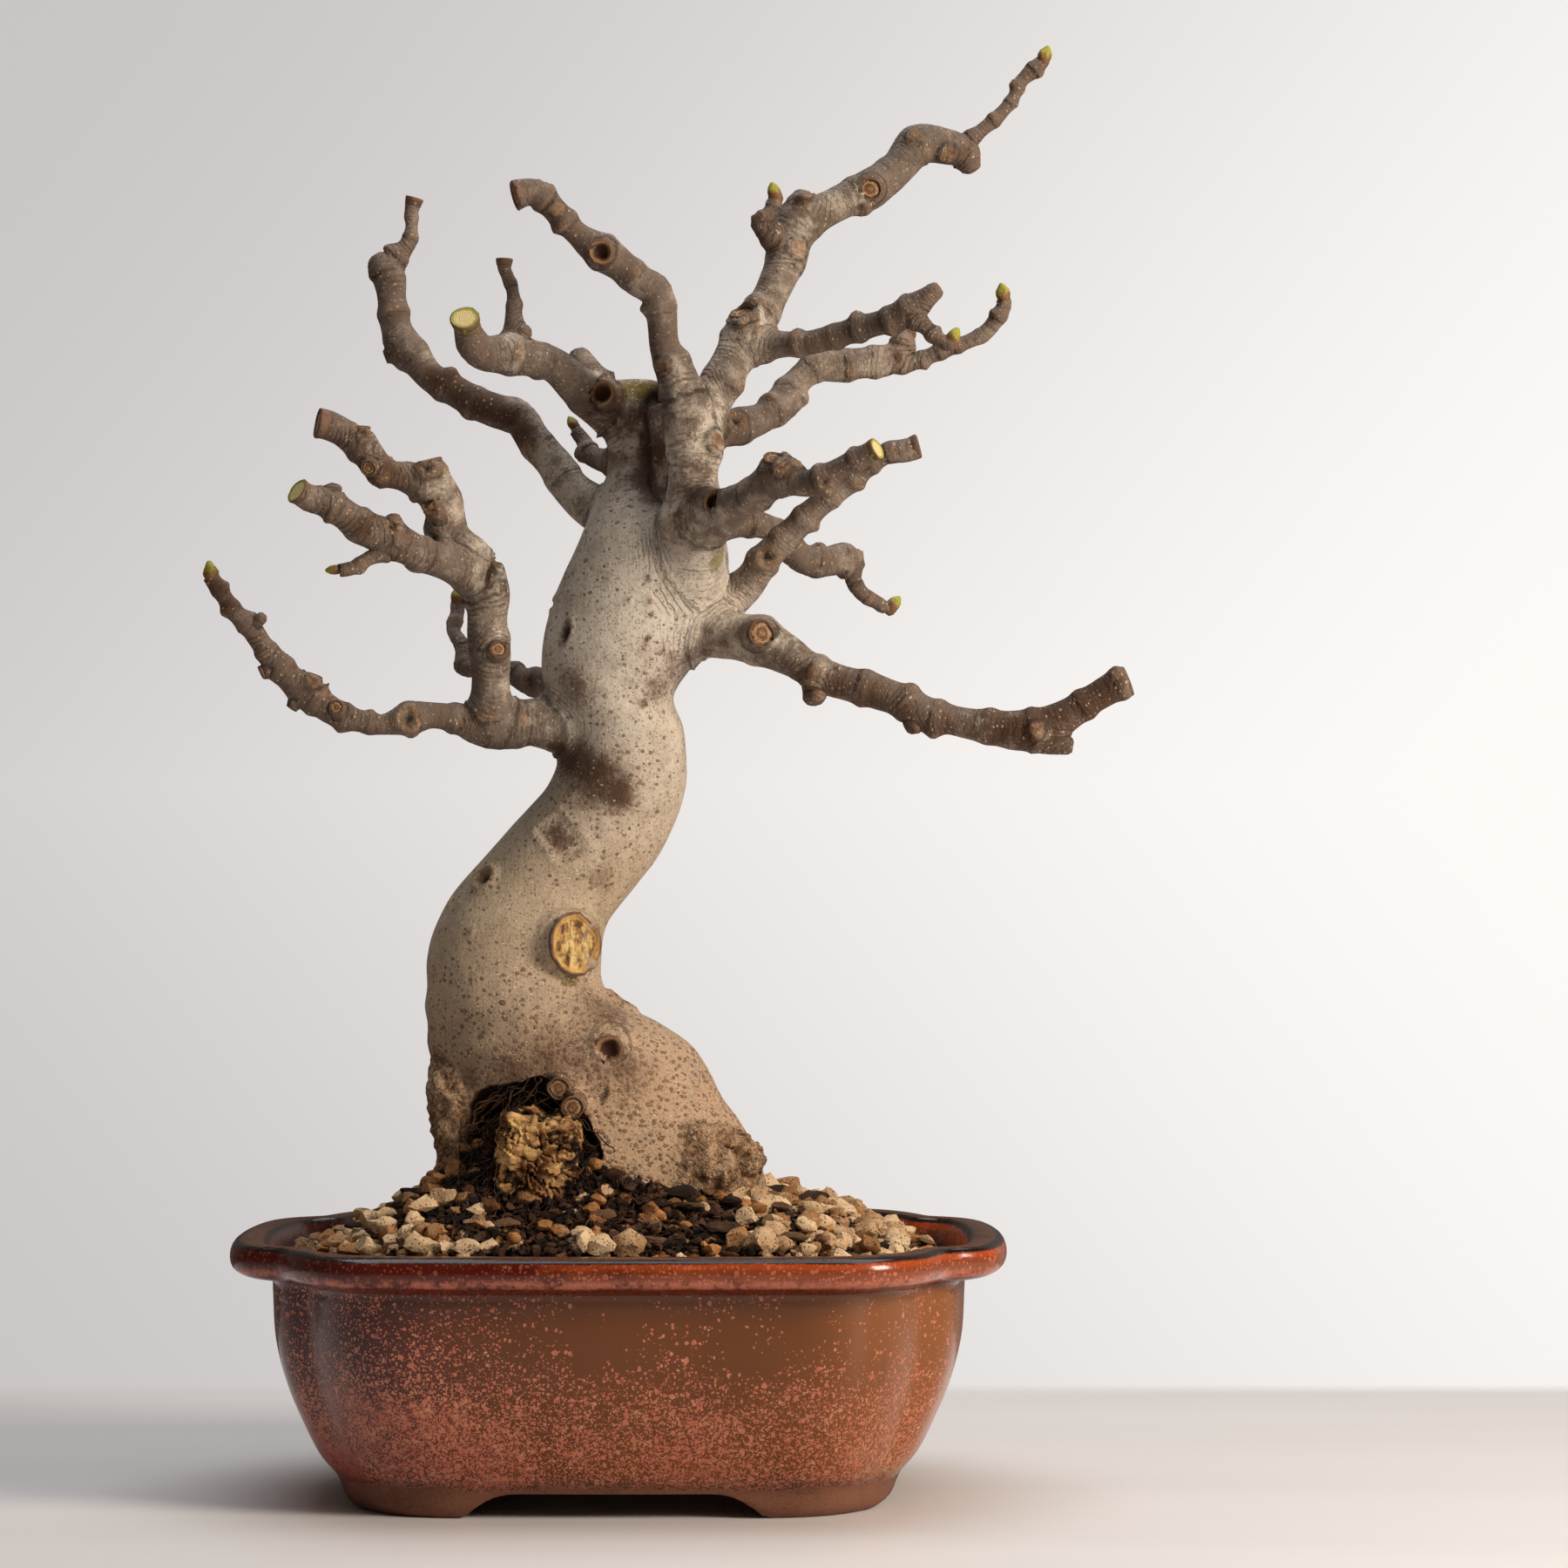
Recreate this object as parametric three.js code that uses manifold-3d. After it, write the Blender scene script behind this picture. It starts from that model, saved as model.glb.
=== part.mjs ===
// A leafless, pruned fig bonsai standing in a glazed pot with lobed corners.
// Millimetres, +Z up, +X to the right and +Y to the back as seen from the tree's front.
// Points of the tree are measured from the middle of the pot, on the surface it stands on.
import * as THREE from 'three';
import { mergeVertices } from 'three/addons/utils/BufferGeometryUtils.js';
import Module from 'manifold-3d';

const wasm = await Module();
wasm.setup();

// Driving dimensions of the pot
const RIM_HALF_LENGTH = 125;
const RIM_HALF_DEPTH = 99;
const POT_HEIGHT = 84;
const DEPTH_TAPER = 0.85;
const NOTCH_INSET = 20;
const NOTCH_INSET_TAPER = 0.3;
const NOTCH_HALF_DEPTH = 60;
const NOTCH_DEPTH_TAPER = 0.3;
const FOOT_HEIGHT = 9;
const FOOT_WIDTH = 12;
const POT_FLOOR = 15;
const ARCH_TOP_HALF_LENGTH = 30;
const ARCH_FOOT_HALF_LENGTH = 47;
const ARCH_TOP_HALF_DEPTH = 15;
const ARCH_FOOT_HALF_DEPTH = 28;
const ARCH_ROUNDING = 5;
const ARCH_ROOF = 0.8;
const DRAIN_HOLE_RADIUS = 8;
const DRAIN_HOLE_SIDES = 16;
const DRAIN_HOLE_X = 44;

// The curves of a quarter of the pot's plan, as shares of the notch's depth and in millimetres inwards
const END_LOBE = { flat: 0.4, shoulder: 0.7, shoulderIn: 3, turn: 0.95, turnIn: 5 };
const SIDE_LOBE = { start: 0.3, startIn: 4, turn: 0.9, turnIn: 10, flat: 0.98, flatIn: 32 };
const PLAN_CUTS = [2, 3, 4, 1];

// Driving dimensions of the soil
const SOIL_EDGE_HALF_LENGTH = 108;
const SOIL_EDGE_HEIGHT = 79;
const SOIL_MOUND_RISE = 18;
const SOIL_RINGS = [0.97, 0.88, 0.76, 0.6, 0.4];
const GRAIN_INNERMOST = 0.45;
const GRAIN_OUTERMOST = 0.93;
const GRAIN_COUNT = 100;
const GRAIN_RADIUS = 3.4;
const GRAIN_RADIUS_SPREAD = 1.6;
const GRAIN_SPACING = 9.5;
const GRAIN_WIDTH = [0.75, 0.95];
const GRAIN_FLATNESS = [0.7, 0.9];
const GRAIN_LIFT = 0.15;
const GRAIN_TRIES = 8000;
const GRAIN_SEED = 4059;
const MOUND_POWER = 4;

// The ground that the tree's foot covers, as an ellipse that stays free of grains
const TREE_FOOT = { middleX: -5, halfLength: 58, halfDepth: 46 };

// Clearance between two pieces that touch
const GAP = 0.35;

// How finely the round forms are cut into flat faces
const TRUNK_SIDES = 24;
const TRUNK_STEPS = 44;
const LIMB_SIDES = 7;
const TWIG_SIDES = 6;
const TWIG_RADIUS = 3.2;
const LIMB_STEP = 7;
const ROOT_STEP = 30;

// Where a section of the pot's wall stands: half its length in front view, and its height
const OUTER_WALL = [
  [84, 0],
  [88, 2.5],
  [90.5, 8],
  [92, 10.5],
  [97, 16],
  [102.5, 27],
  [107, 38],
  [110.5, 52],
  [111.5, 68],
  [111.8, 71.5],
  [120.5, 73.6],
  [124.3, 76],
  [RIM_HALF_LENGTH, 79.5],
  [123.8, 82.6],
  [120, POT_HEIGHT],
  [113.6, 83.4],
  [111.2, 80.5],
];
const INNER_WALL = [
  [106, 70],
  [104.5, 52],
  [101, 38],
  [96.5, 27],
  [91, 19.5],
  [82, POT_FLOOR],
];

// The trunk's left edge, right edge, middle from front to back and half depth, by height
const TRUNK = [
  { z: 80, left: -36, right: 28, middle: 0, half: 24 },
  { z: 91, left: -51, right: 43, middle: 0, half: 34 },
  { z: 99, left: -56, right: 47, middle: 0, half: 39 },
  { z: 107, left: -56, right: 45, middle: 0, half: 40 },
  { z: 117, left: -58, right: 40, middle: 0, half: 39 },
  { z: 127, left: -60, right: 33, middle: 0, half: 37 },
  { z: 137, left: -61, right: 28, middle: 0, half: 35 },
  { z: 145, left: -63, right: 22, middle: -1, half: 33 },
  { z: 151, left: -63, right: 13, middle: -1, half: 31 },
  { z: 157, left: -64, right: 2, middle: -1, half: 30 },
  { z: 163, left: -63, right: -5, middle: -1, half: 29 },
  { z: 173, left: -63, right: -6, middle: 0, half: 28 },
  { z: 184, left: -60, right: -4, middle: 0, half: 27 },
  { z: 195, left: -54, right: 4, middle: 1, half: 25 },
  { z: 206, left: -44, right: 12, middle: 1, half: 24 },
  { z: 217, left: -34, right: 18, middle: 1, half: 23 },
  { z: 228, left: -24, right: 21, middle: 0, half: 22 },
  { z: 238, left: -20, right: 21, middle: -1, half: 21 },
  { z: 248, left: -20, right: 20, middle: -2, half: 21 },
  { z: 257, left: -24, right: 17, middle: -2, half: 22 },
  { z: 265, left: -26, right: 21, middle: -2, half: 22 },
  { z: 275, left: -25, right: 26, middle: -3, half: 23 },
  { z: 286, left: -22, right: 30, middle: -3, half: 23 },
  { z: 297, left: -18, right: 33, middle: -3, half: 22 },
  { z: 308, left: -13, right: 33, middle: -3, half: 21 },
  { z: 318, left: -9, right: 25, middle: -1, half: 17 },
  { z: 326, left: -6, right: 16, middle: 2, half: 12 },
  { z: 335, left: -4, right: 13, middle: 4, half: 9 },
  { z: 345, left: -6, right: 14, middle: 5, half: 10 },
  { z: 354, left: -6, right: 15, middle: 5, half: 10 },
  { z: 361, left: -4, right: 14, middle: 5, half: 9 },
];

// Limbs and twigs, each a run of points [x, y, z, radius] from where it grows out to its cut end or bud
const LIMBS = {
  leader: [
    [17, -4, 290, 15], [22, -16, 303, 12], [24, -24, 313, 10], [24, -25, 324, 8],
    [24, -25, 338, 8], [21, -26, 351, 7.2],
  ],
  highCentre: [
    [23, -25, 342, 7.6], [21, -26, 351, 7], [18, -27, 361, 6.2], [15, -28, 369, 5], [14, -30, 379, 4.9],
    [12, -31, 386, 5], [7, -32, 389, 5], [1, -34, 394, 5], [-5, -36, 398, 5.2], [-12, -38, 403, 4],
    [-17, -40, 408, 4], [-22, -42, 413, 4], [-27, -43, 416, 4.2], [-32, -44, 415, 4.8],
  ],
  highRight: [
    [24, -24, 340, 7.6], [29, -20, 350, 6.8], [34, -18, 360, 6.7], [38, -15, 368, 6.3], [42, -13, 374, 7],
    [47, -10, 383, 5.7], [51, -8, 392, 5.7], [54, -5, 399, 6], [56, -2, 408, 7.6], [63, 1, 413, 5.8],
    [71, 4, 418, 5.7], [81, 8, 423, 6], [90, 12, 430, 5.8], [97, 15, 438, 6.3], [106, 18, 438, 5.7],
    [112, 20, 436, 4.4], [114, 20, 432, 3.8],
  ],
  highRightTwig: [
    [109, 20, 437, 2.8], [117, 21, 443, 2.3], [123, 22, 448, 2.3], [128, 23, 454, 2], [131, 24, 460, 2.2],
    [135, 25, 464, 2.6], [138, 25, 467, 2.3], [139, 25, 470, 2], [140, 25, 472, 0.9],
  ],
  highRightSpur: [
    [53, -5, 402, 4.4], [50, -8, 405, 4], [45, -9, 410, 2.7], [48, -10, 413, 2.3], [50, -10, 418, 2],
    [49, -10, 420, 2.3], [49, -10, 423, 0.9],
  ],
  highRightLump: [[57, -1, 411, 5], [58, -1, 416, 4], [59, -1, 420, 2.6]],
  rightFlat: [
    [40, -13, 371, 6], [46, -16, 370, 5.4], [53, -20, 370, 4.4], [61, -25, 370, 3.9], [70, -29, 372, 3.9],
    [78, -33, 374, 3.9], [86, -37, 376, 3.9], [93, -40, 379, 4.5], [97, -42, 382, 3.6], [101, -43, 385, 2.8],
  ],
  rightFlatTwig: [
    [92, -41, 378, 3], [97, -43, 374, 2.3], [101, -44, 370, 2.4], [105, -45, 368, 2.4], [107, -45, 370, 1.9],
    [108, -45, 373, 0.9],
  ],
  rightUpper: [
    [24, -20, 338, 6.5], [31, -12, 342, 5.4], [39, -3, 345, 5.8], [46, 4, 348, 4.9], [53, 10, 354, 5.7],
    [57, 13, 360, 4.7], [63, 15, 365, 4.8], [70, 18, 366, 5.1], [77, 20, 367, 5.1], [84, 22, 368, 4.9],
    [90, 24, 370, 4.3], [92, 25, 374, 3.8], [93, 26, 378, 3.4],
  ],
  rightUpperTwig: [
    [87, 22, 367, 3], [94, 22, 367, 2.3], [102, 21, 370, 2.6], [107, 20, 372, 2.6], [113, 19, 374, 2.3],
    [119, 18, 377, 2.6], [123, 17, 382, 2.6], [125, 16, 386, 2.5], [124, 15, 390, 2.2], [124, 15, 393, 0.9],
  ],
  frontRight: [
    [24, -24, 314, 9.5], [33, -37, 314, 7], [39, -44, 318, 5.6], [45, -50, 321, 5.5], [50, -54, 325, 5.1],
    [54, -57, 325, 5.5], [60, -60, 323, 4.2], [65, -63, 324, 4.6], [70, -66, 327, 3.6], [76, -69, 330, 3.5],
    [82, -72, 333, 3.4],
  ],
  middleRight: [
    [25, 2, 281, 9], [34, 0, 288, 7], [42, -3, 295, 5.6], [47, -6, 302, 4.9], [53, -8, 308, 4.5],
    [60, -11, 315, 4.2], [67, -14, 321, 3.9], [74, -16, 326, 3.6], [81, -18, 332, 3.4], [86, -19, 335, 3.4],
    [92, -20, 336, 3.9], [96, -20, 337, 3.8],
  ],
  backRight: [
    [22, 8, 308, 9], [31, 18, 313, 5.4], [38, 24, 315, 4.8], [47, 30, 314, 4.1], [52, 34, 311, 4],
    [59, 40, 304, 4.9], [66, 45, 303, 4.9], [72, 49, 304, 4.9], [76, 52, 303, 3.9], [76, 54, 298, 2.8],
    [79, 56, 293, 2.6], [84, 58, 290, 2.4], [88, 60, 288, 2.3], [91, 61, 290, 1.9], [92, 61, 292, 0.9],
  ],
  lowRight: [
    [14, -3, 282, 15], [21, -5, 280, 12.5], [28, -7, 279, 9.8], [36, -12, 277, 7.8], [44, -17, 275, 7.4],
    [53, -21, 271, 6.5], [61, -24, 266, 5.3], [70, -26, 262, 5.3], [81, -28, 259, 5.6], [92, -30, 255, 5.1],
    [97, -31, 252, 5.5], [108, -33, 249, 4.8], [119, -35, 247, 5.4], [128, -36, 246, 6], [136, -37, 248, 5.3],
    [143, -38, 251, 5], [151, -39, 256, 4.7], [158, -40, 260, 4.9], [163, -40, 262, 4.8],
  ],
  lowRightStub: [[130, -36, 245, 4.2], [137, -37, 242, 3.4], [143, -37, 241, 2.8]],
  lowLeft: [
    [-10, -2, 251, 13], [-20, -6, 248, 9.2], [-28, -8, 249, 7.8], [-37, -11, 248, 7], [-45, -14, 248, 5.8],
    [-53, -17, 250, 4.3], [-60, -19, 251, 4.2], [-67, -21, 250, 5.3], [-75, -23, 248, 3.5],
    [-82, -24, 249, 3.4], [-89, -25, 251, 3.6], [-94, -26, 254, 4.2], [-100, -27, 258, 4.2],
    [-105, -28, 263, 4.1], [-109, -29, 268, 3.6], [-113, -30, 273, 3.3], [-117, -31, 279, 3],
    [-122, -32, 284, 2.8], [-126, -33, 290, 2.5], [-129, -34, 294, 2.6], [-131, -34, 297, 2.4],
    [-131, -34, 300, 0.9],
  ],
  lowLeftStub: [[-99, -27, 258, 3.4], [-97, -27, 263, 3]],
  leftUpright: [
    [-40, -12, 249, 8], [-41, -15, 254, 6.9], [-41, -20, 268, 6.1], [-42, -22, 279, 6.3],
    [-42, -23, 288, 6.2], [-44, -25, 297, 7],
  ],
  leftInner: [
    [-43, -24, 292, 6.6], [-48, -28, 301, 7.2], [-54, -31, 309, 6.1], [-55, -34, 318, 6], [-59, -36, 324, 6],
    [-61, -37, 331, 5.3],
  ],
  leftInnerTip: [
    [-58, -36, 323, 5.4], [-67, -39, 326, 4.4], [-74, -41, 328, 4.2], [-79, -42, 334, 4.7],
    [-85, -43, 339, 4.2], [-90, -44, 342, 4.7], [-94, -45, 343, 4.7],
  ],
  leftOuter: [
    [-43, -24, 295, 6.8], [-53, -36, 299, 6], [-60, -42, 301, 5.5], [-66, -47, 304, 5.2], [-73, -50, 307, 4.9],
    [-80, -53, 310, 5.3], [-85, -56, 314, 4.3], [-90, -58, 317, 4.1], [-95, -59, 318, 3.9],
    [-101, -60, 319, 3.7],
  ],
  leftOuterNub: [[-69, -49, 306, 3.4], [-70, -51, 312, 2.5]],
  leftOuterTwig: [
    [-68, -48, 304, 3], [-77, -51, 300, 2.1], [-82, -53, 297, 2.2], [-87, -54, 296, 2.2], [-91, -54, 296, 0.9],
  ],
  backLeft: [
    [-8, 8, 261, 9], [-20, 16, 262, 5.6], [-32, 23, 263, 4.2], [-37, 27, 266, 3.4], [-47, 33, 267, 2.9],
    [-53, 38, 268, 2.7], [-54, 42, 275, 2.4], [-57, 45, 280, 2.4], [-56, 48, 286, 2.4], [-56, 50, 292, 2.4],
    [-56, 50, 295, 0.9],
  ],
  highLeft: [
    [2, 6, 315, 10], [-10, 13, 320, 7.2], [-17, 17, 326, 6.3], [-23, 20, 335, 5.8], [-29, 22, 342, 5.7],
    [-34, 24, 349, 5.7], [-42, 26, 352, 5.5], [-49, 28, 355, 5.2], [-56, 30, 359, 5.2], [-64, 32, 364, 4.9],
    [-69, 34, 370, 5.3], [-74, 36, 376, 5.7], [-76, 38, 382, 5.2], [-77, 39, 390, 4.9], [-78, 40, 397, 5.2],
    [-81, 41, 402, 4.4],
  ],
  highLeftTwig: [
    [-79, 41, 400, 4], [-76, 42, 404, 3.6], [-72, 43, 409, 2.7], [-71, 44, 414, 2.1], [-71, 45, 420, 2.3],
    [-70, 45, 424, 3.1],
  ],
  stumpLeft: [
    [4, 5, 348, 8], [-5, 2, 351, 7.4], [-14, -4, 358, 6.7], [-21, -9, 364, 5.7], [-28, -13, 366, 5.6],
    [-34, -16, 367, 6.1], [-39, -19, 367, 6], [-44, -22, 367, 5.2], [-47, -25, 371, 4.9], [-48, -27, 375, 4.4],
    [-48, -28, 379, 4.3],
  ],
  stumpLeftTwig: [
    [-33, -15, 368, 4], [-34, -14, 377, 3.1], [-34, -13, 385, 2.2], [-35, -12, 390, 2], [-37, -12, 395, 2.2],
    [-37, -12, 398, 2.6],
  ],
  stumpBackLump: [[-5, 6, 355, 5], [-10, 10, 362, 5], [-14, 14, 368, 4.2]],
  stumpBackTwig: [
    [2, 8, 333, 5], [-10, 20, 337, 3.4], [-13, 24, 342, 2.6], [-16, 25, 346, 2.3], [-18, 26, 350, 1.6],
  ],
  trunkWound: [[-15, -12, 178, 10], [-14, -24, 178, 10], [-13, -32, 178, 8.6]],
  trunkKnot: [[-4, -20, 146, 8], [-3, -29, 145, 7], [-3, -34, 144, 5.6]],
  elbowScar: [[28, -28, 317, 5], [31, -42, 318, 3.6]],
  lowRightScar: [[44, -17, 276, 6], [46, -27, 277, 4.4]],
  stumpScar: [[-3, 2, 354, 5.6], [-6, -8, 355, 4.4]],
  highCentreScar: [[-5, -36, 398, 4.6], [-5, -42, 397, 3.9]],
  highRightScar: [[81, 8, 423, 5], [81, 1, 422, 3.9]],
};

// What shows of the roots above the soil, and the main roots below it, as runs of [x, y, z, radius]
const GROUND_LIMBS = {
  barkFlap: [[-55, -12, 142, 4], [-55, -17, 130, 6], [-53, -18, 114, 6.5], [-52, -16, 96, 6]],
  upperKnob: [[-17, -30, 134, 5], [-17, -40, 134, 4]],
  lowerKnob: [[-14, -32, 128, 5], [-14, -42, 128, 3.8]],
  noduleInner: [[22, -16, 108, 11], [33, -22, 110, 9], [36, -24, 111, 6]],
  noduleOuter: [[30, -12, 108, 10], [41, -15, 110, 8], [46, -16, 109, 5]],
};
const ROOT_COUNT = 6;
const ROOT_TURN = 0.35;
const ROOT_RUN = [
  { reach: 20, z: 94, radius: 12 },
  { reach: 44, z: 74, radius: 7 },
  { reach: 68, z: 55, radius: 4.5 },
  { reach: 86, z: 40, radius: 2.5 },
];
const ROOT_DEPTH_SHARE = 0.74;
const ROOT_MIDDLE_X = -4;

// The hollow under the front of the trunk, and the bare root wood standing in it
const HOLLOW = { middle: [-27, -44, 112], half: [19, 13, 25] };
const ROOT_WOOD = { middle: [-25, -35, 112], half: [13, 10, 14] };
const SOIL_IN_HOLLOW = { middle: [-27, -36, 104], half: [21, 16, 24] };

// The plastic screens over the drain holes, and the wires that hold them
const SCREEN_SIZE = 26;
const SCREEN_THICKNESS = 1;
const SCREEN_BARS = 4;
const SCREEN_BAR_WIDTH = 2;
const CLIP_RADIUS = 0.7;
const CLIP_HALF_SPAN = 6.5;
const CLIP_STEPS = 16;
const CLIP_LEG = 14;
const CLIP_BEND = 1.2;
const CLIP_FOOT_BEND = 1.5;
const SCREEN_POCKET = 27;
const SCREEN_POCKET_DEPTH = 4;

/** A number between two limits, by a share from 0 to 1. */
function between([low, high], share) {
  return low + (high - low) * share;
}

/** A seeded source of even random numbers from 0 to 1. */
function seededRandom(seed) {
  let state = seed;
  return () => {
    state = (state + 0x6d2b79f5) | 0;
    let mixed = Math.imul(state ^ (state >>> 15), 1 | state);
    mixed = (mixed + Math.imul(mixed ^ (mixed >>> 7), 61 | mixed)) ^ mixed;
    return ((mixed ^ (mixed >>> 14)) >>> 0) / 4294967296;
  };
}

/** A solid from a closed geometry, by its positions alone. */
function solidFrom(geometry) {
  const bare = geometry.clone();
  bare.deleteAttribute('normal');
  bare.deleteAttribute('uv');
  const merged = mergeVertices(bare, 1e-4);
  const vertProperties = new Float32Array(merged.attributes.position.array);
  const triVerts = new Uint32Array(merged.index.array);
  return new wasm.Manifold(new wasm.Mesh({ numProp: 3, vertProperties, triVerts }));
}

/** A named mesh from a solid. */
function meshFrom(name, solid, material) {
  const { vertProperties, triVerts } = solid.getMesh();
  const geometry = new THREE.BufferGeometry();
  geometry.setAttribute('position', new THREE.BufferAttribute(vertProperties, 3));
  geometry.setIndex(new THREE.BufferAttribute(triVerts, 1));
  geometry.computeVertexNormals();
  const mesh = new THREE.Mesh(geometry, material);
  mesh.name = name;
  return mesh;
}

/** A closed skin over rings of points, each ring running anticlockwise seen from the last one. */
function loft(rings) {
  const sides = rings[0].length;
  const steps = rings.length - 1;
  const geometry = new THREE.CylinderGeometry(1, 1, 1, sides, steps);
  const position = geometry.attributes.position;
  for (let i = 0; i < position.count; i += 1) {
    const x = position.getX(i);
    const y = position.getY(i);
    const z = position.getZ(i);
    const ring = rings[Math.round((y + 0.5) * steps)];
    if (Math.hypot(x, z) < 0.5) {
      const middle = new THREE.Vector3();
      ring.forEach((point) => middle.addScaledVector(point, 1 / sides));
      position.setXYZ(i, middle.x, middle.y, middle.z);
      continue;
    }
    const turn = Math.atan2(-z, x) / (2 * Math.PI) + 1;
    const point = ring[Math.round(turn * sides) % sides];
    position.setXYZ(i, point.x, point.y, point.z);
  }
  return geometry;
}

/** A tapering round limb along points [x, y, z, radius], grown all round by a clearance. */
function limb(points, grow = 0, longestStep = LIMB_STEP) {
  const centres = points.map(([x, y, z]) => new THREE.Vector3(x, y, z));
  const line = new THREE.CatmullRomCurve3(centres, false, 'centripetal');
  const radii = new THREE.SplineCurve(points.map(([, , , radius], i) => new THREE.Vector2(i, radius)));
  const thin = points[1][3] < TWIG_RADIUS;
  const sides = thin ? TWIG_SIDES : LIMB_SIDES;
  const steps = Math.max(points.length - 1, Math.ceil(line.getLength() / longestStep));
  const frames = line.computeFrenetFrames(steps, false);
  const rings = [];
  for (let i = 0; i <= steps; i += 1) {
    const share = i / steps;
    const middle = line.getPointAt(share);
    const radius = radii.getPoint(line.getUtoTmapping(share)).y + grow;
    const end = i === 0 ? -grow : i === steps ? grow : 0;
    middle.addScaledVector(frames.tangents[i], end);
    const ring = [];
    for (let j = 0; j < sides; j += 1) {
      const turn = (2 * Math.PI * j) / sides;
      const point = middle.clone();
      point.addScaledVector(frames.normals[i], radius * Math.cos(turn));
      point.addScaledVector(frames.binormals[i], radius * Math.sin(turn));
      ring.push(point);
    }
    rings.push(ring);
  }
  return solidFrom(loft(rings));
}

/** An egg-shaped solid, scaled along the axes from a faceted ball. */
function lump({ middle, half }, grow = 0) {
  const geometry = new THREE.IcosahedronGeometry(1, 1);
  geometry.scale(half[0] + grow, half[1] + grow, half[2] + grow);
  geometry.translate(...middle);
  return solidFrom(geometry);
}

/** The trunk up to its old stump, from its edges in front view and its depth. */
function trunk(grow = 0) {
  const edges = TRUNK.map(({ z, left, right }) => new THREE.Vector3(left, right, z));
  const depths = TRUNK.map(({ middle, half }) => new THREE.Vector2(middle, half));
  const edgeLine = new THREE.CatmullRomCurve3(edges, false, 'catmullrom', 0.5);
  const depthLine = new THREE.SplineCurve(depths);
  const rings = [];
  for (let i = 0; i <= TRUNK_STEPS; i += 1) {
    const share = i / TRUNK_STEPS;
    const edge = edgeLine.getPoint(share);
    const depth = depthLine.getPoint(share);
    const middle = (edge.x + edge.y) / 2;
    const half = (edge.y - edge.x) / 2 + grow;
    const end = i === 0 ? -grow : i === TRUNK_STEPS ? grow : 0;
    const ring = [];
    for (let j = 0; j < TRUNK_SIDES; j += 1) {
      const turn = (2 * Math.PI * j) / TRUNK_SIDES;
      const x = middle + half * Math.cos(turn);
      const y = depth.x + (depth.y + grow) * Math.sin(turn);
      ring.push(new THREE.Vector3(x, y, edge.z + end));
    }
    rings.push(ring);
  }
  return solidFrom(loft(rings));
}

/** A main root under the soil, turned by its place in the round of roots. */
function root(index, grow = 0) {
  const turn = ROOT_TURN + (2 * Math.PI * index) / ROOT_COUNT;
  const points = ROOT_RUN.map(({ reach, z, radius }) => {
    const x = ROOT_MIDDLE_X + reach * Math.cos(turn);
    const y = reach * ROOT_DEPTH_SHARE * Math.sin(turn);
    return [x, y, z, radius];
  });
  return limb(points, grow, ROOT_STEP);
}

/** The part of the tree that meets the soil: trunk, hollow, root wood, knobs and main roots. */
function groundTree(grow = 0) {
  let solid = trunk(grow).subtract(lump(HOLLOW, -grow));
  solid = solid.add(lump(ROOT_WOOD, grow));
  for (const points of Object.values(GROUND_LIMBS)) {
    solid = solid.add(limb(points, grow));
  }
  for (let i = 0; i < ROOT_COUNT; i += 1) {
    solid = solid.add(root(i, grow));
  }
  return solid;
}

/** The pot's plan: four lobes that meet at inset corners, for a half length and the height it lies at. */
function planRing(halfLength, z) {
  const taper = RIM_HALF_LENGTH - halfLength;
  const halfDepth = RIM_HALF_DEPTH - DEPTH_TAPER * taper;
  const notchX = halfLength - NOTCH_INSET + NOTCH_INSET_TAPER * taper;
  const notchY = NOTCH_HALF_DEPTH - NOTCH_DEPTH_TAPER * taper;
  const shoulderX = halfLength - END_LOBE.shoulderIn;
  const startY = between([notchY, halfDepth], SIDE_LOBE.start);
  const turnY = between([notchY, halfDepth], SIDE_LOBE.turn);
  const quarter = new THREE.Path();
  quarter.moveTo(halfLength, 0);
  quarter.quadraticCurveTo(halfLength, END_LOBE.flat * notchY, shoulderX, END_LOBE.shoulder * notchY);
  quarter.quadraticCurveTo(halfLength - END_LOBE.turnIn, END_LOBE.turn * notchY, notchX, notchY);
  quarter.bezierCurveTo(
    notchX - SIDE_LOBE.startIn, startY,
    notchX - SIDE_LOBE.turnIn, turnY,
    notchX - SIDE_LOBE.flatIn, SIDE_LOBE.flat * halfDepth,
  );
  quarter.lineTo(0, halfDepth);
  const points = quarter.curves.flatMap((curve, i) => curve.getPoints(PLAN_CUTS[i]).slice(0, -1));
  const back = points.map((point) => new THREE.Vector2(-point.x, point.y)).slice(1);
  const half = [...points, new THREE.Vector2(0, halfDepth), ...back.reverse()];
  const front = half.map((point) => new THREE.Vector2(-point.x, -point.y));
  return [...half, ...front].map(({ x, y }) => new THREE.Vector3(x, y, z));
}

/** A prism through the pot's base with the arched outline between two feet, along Y. */
function arch(topHalf, footHalf, reach) {
  const top = FOOT_HEIGHT - ARCH_ROOF;
  const turn = top - ARCH_ROOF;
  const outline = new THREE.Shape();
  outline.moveTo(-footHalf, -1);
  outline.lineTo(footHalf, -1);
  outline.lineTo(footHalf, 0);
  outline.quadraticCurveTo(topHalf + ARCH_ROUNDING, turn, topHalf, top);
  outline.lineTo(-topHalf, top);
  outline.quadraticCurveTo(-topHalf - ARCH_ROUNDING, turn, -footHalf, 0);
  outline.closePath();
  const geometry = new THREE.ExtrudeGeometry(outline, {
    depth: 2 * reach, bevelEnabled: false, curveSegments: 3,
  });
  geometry.translate(0, 0, -reach);
  geometry.rotateX(Math.PI / 2);
  return geometry;
}

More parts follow.
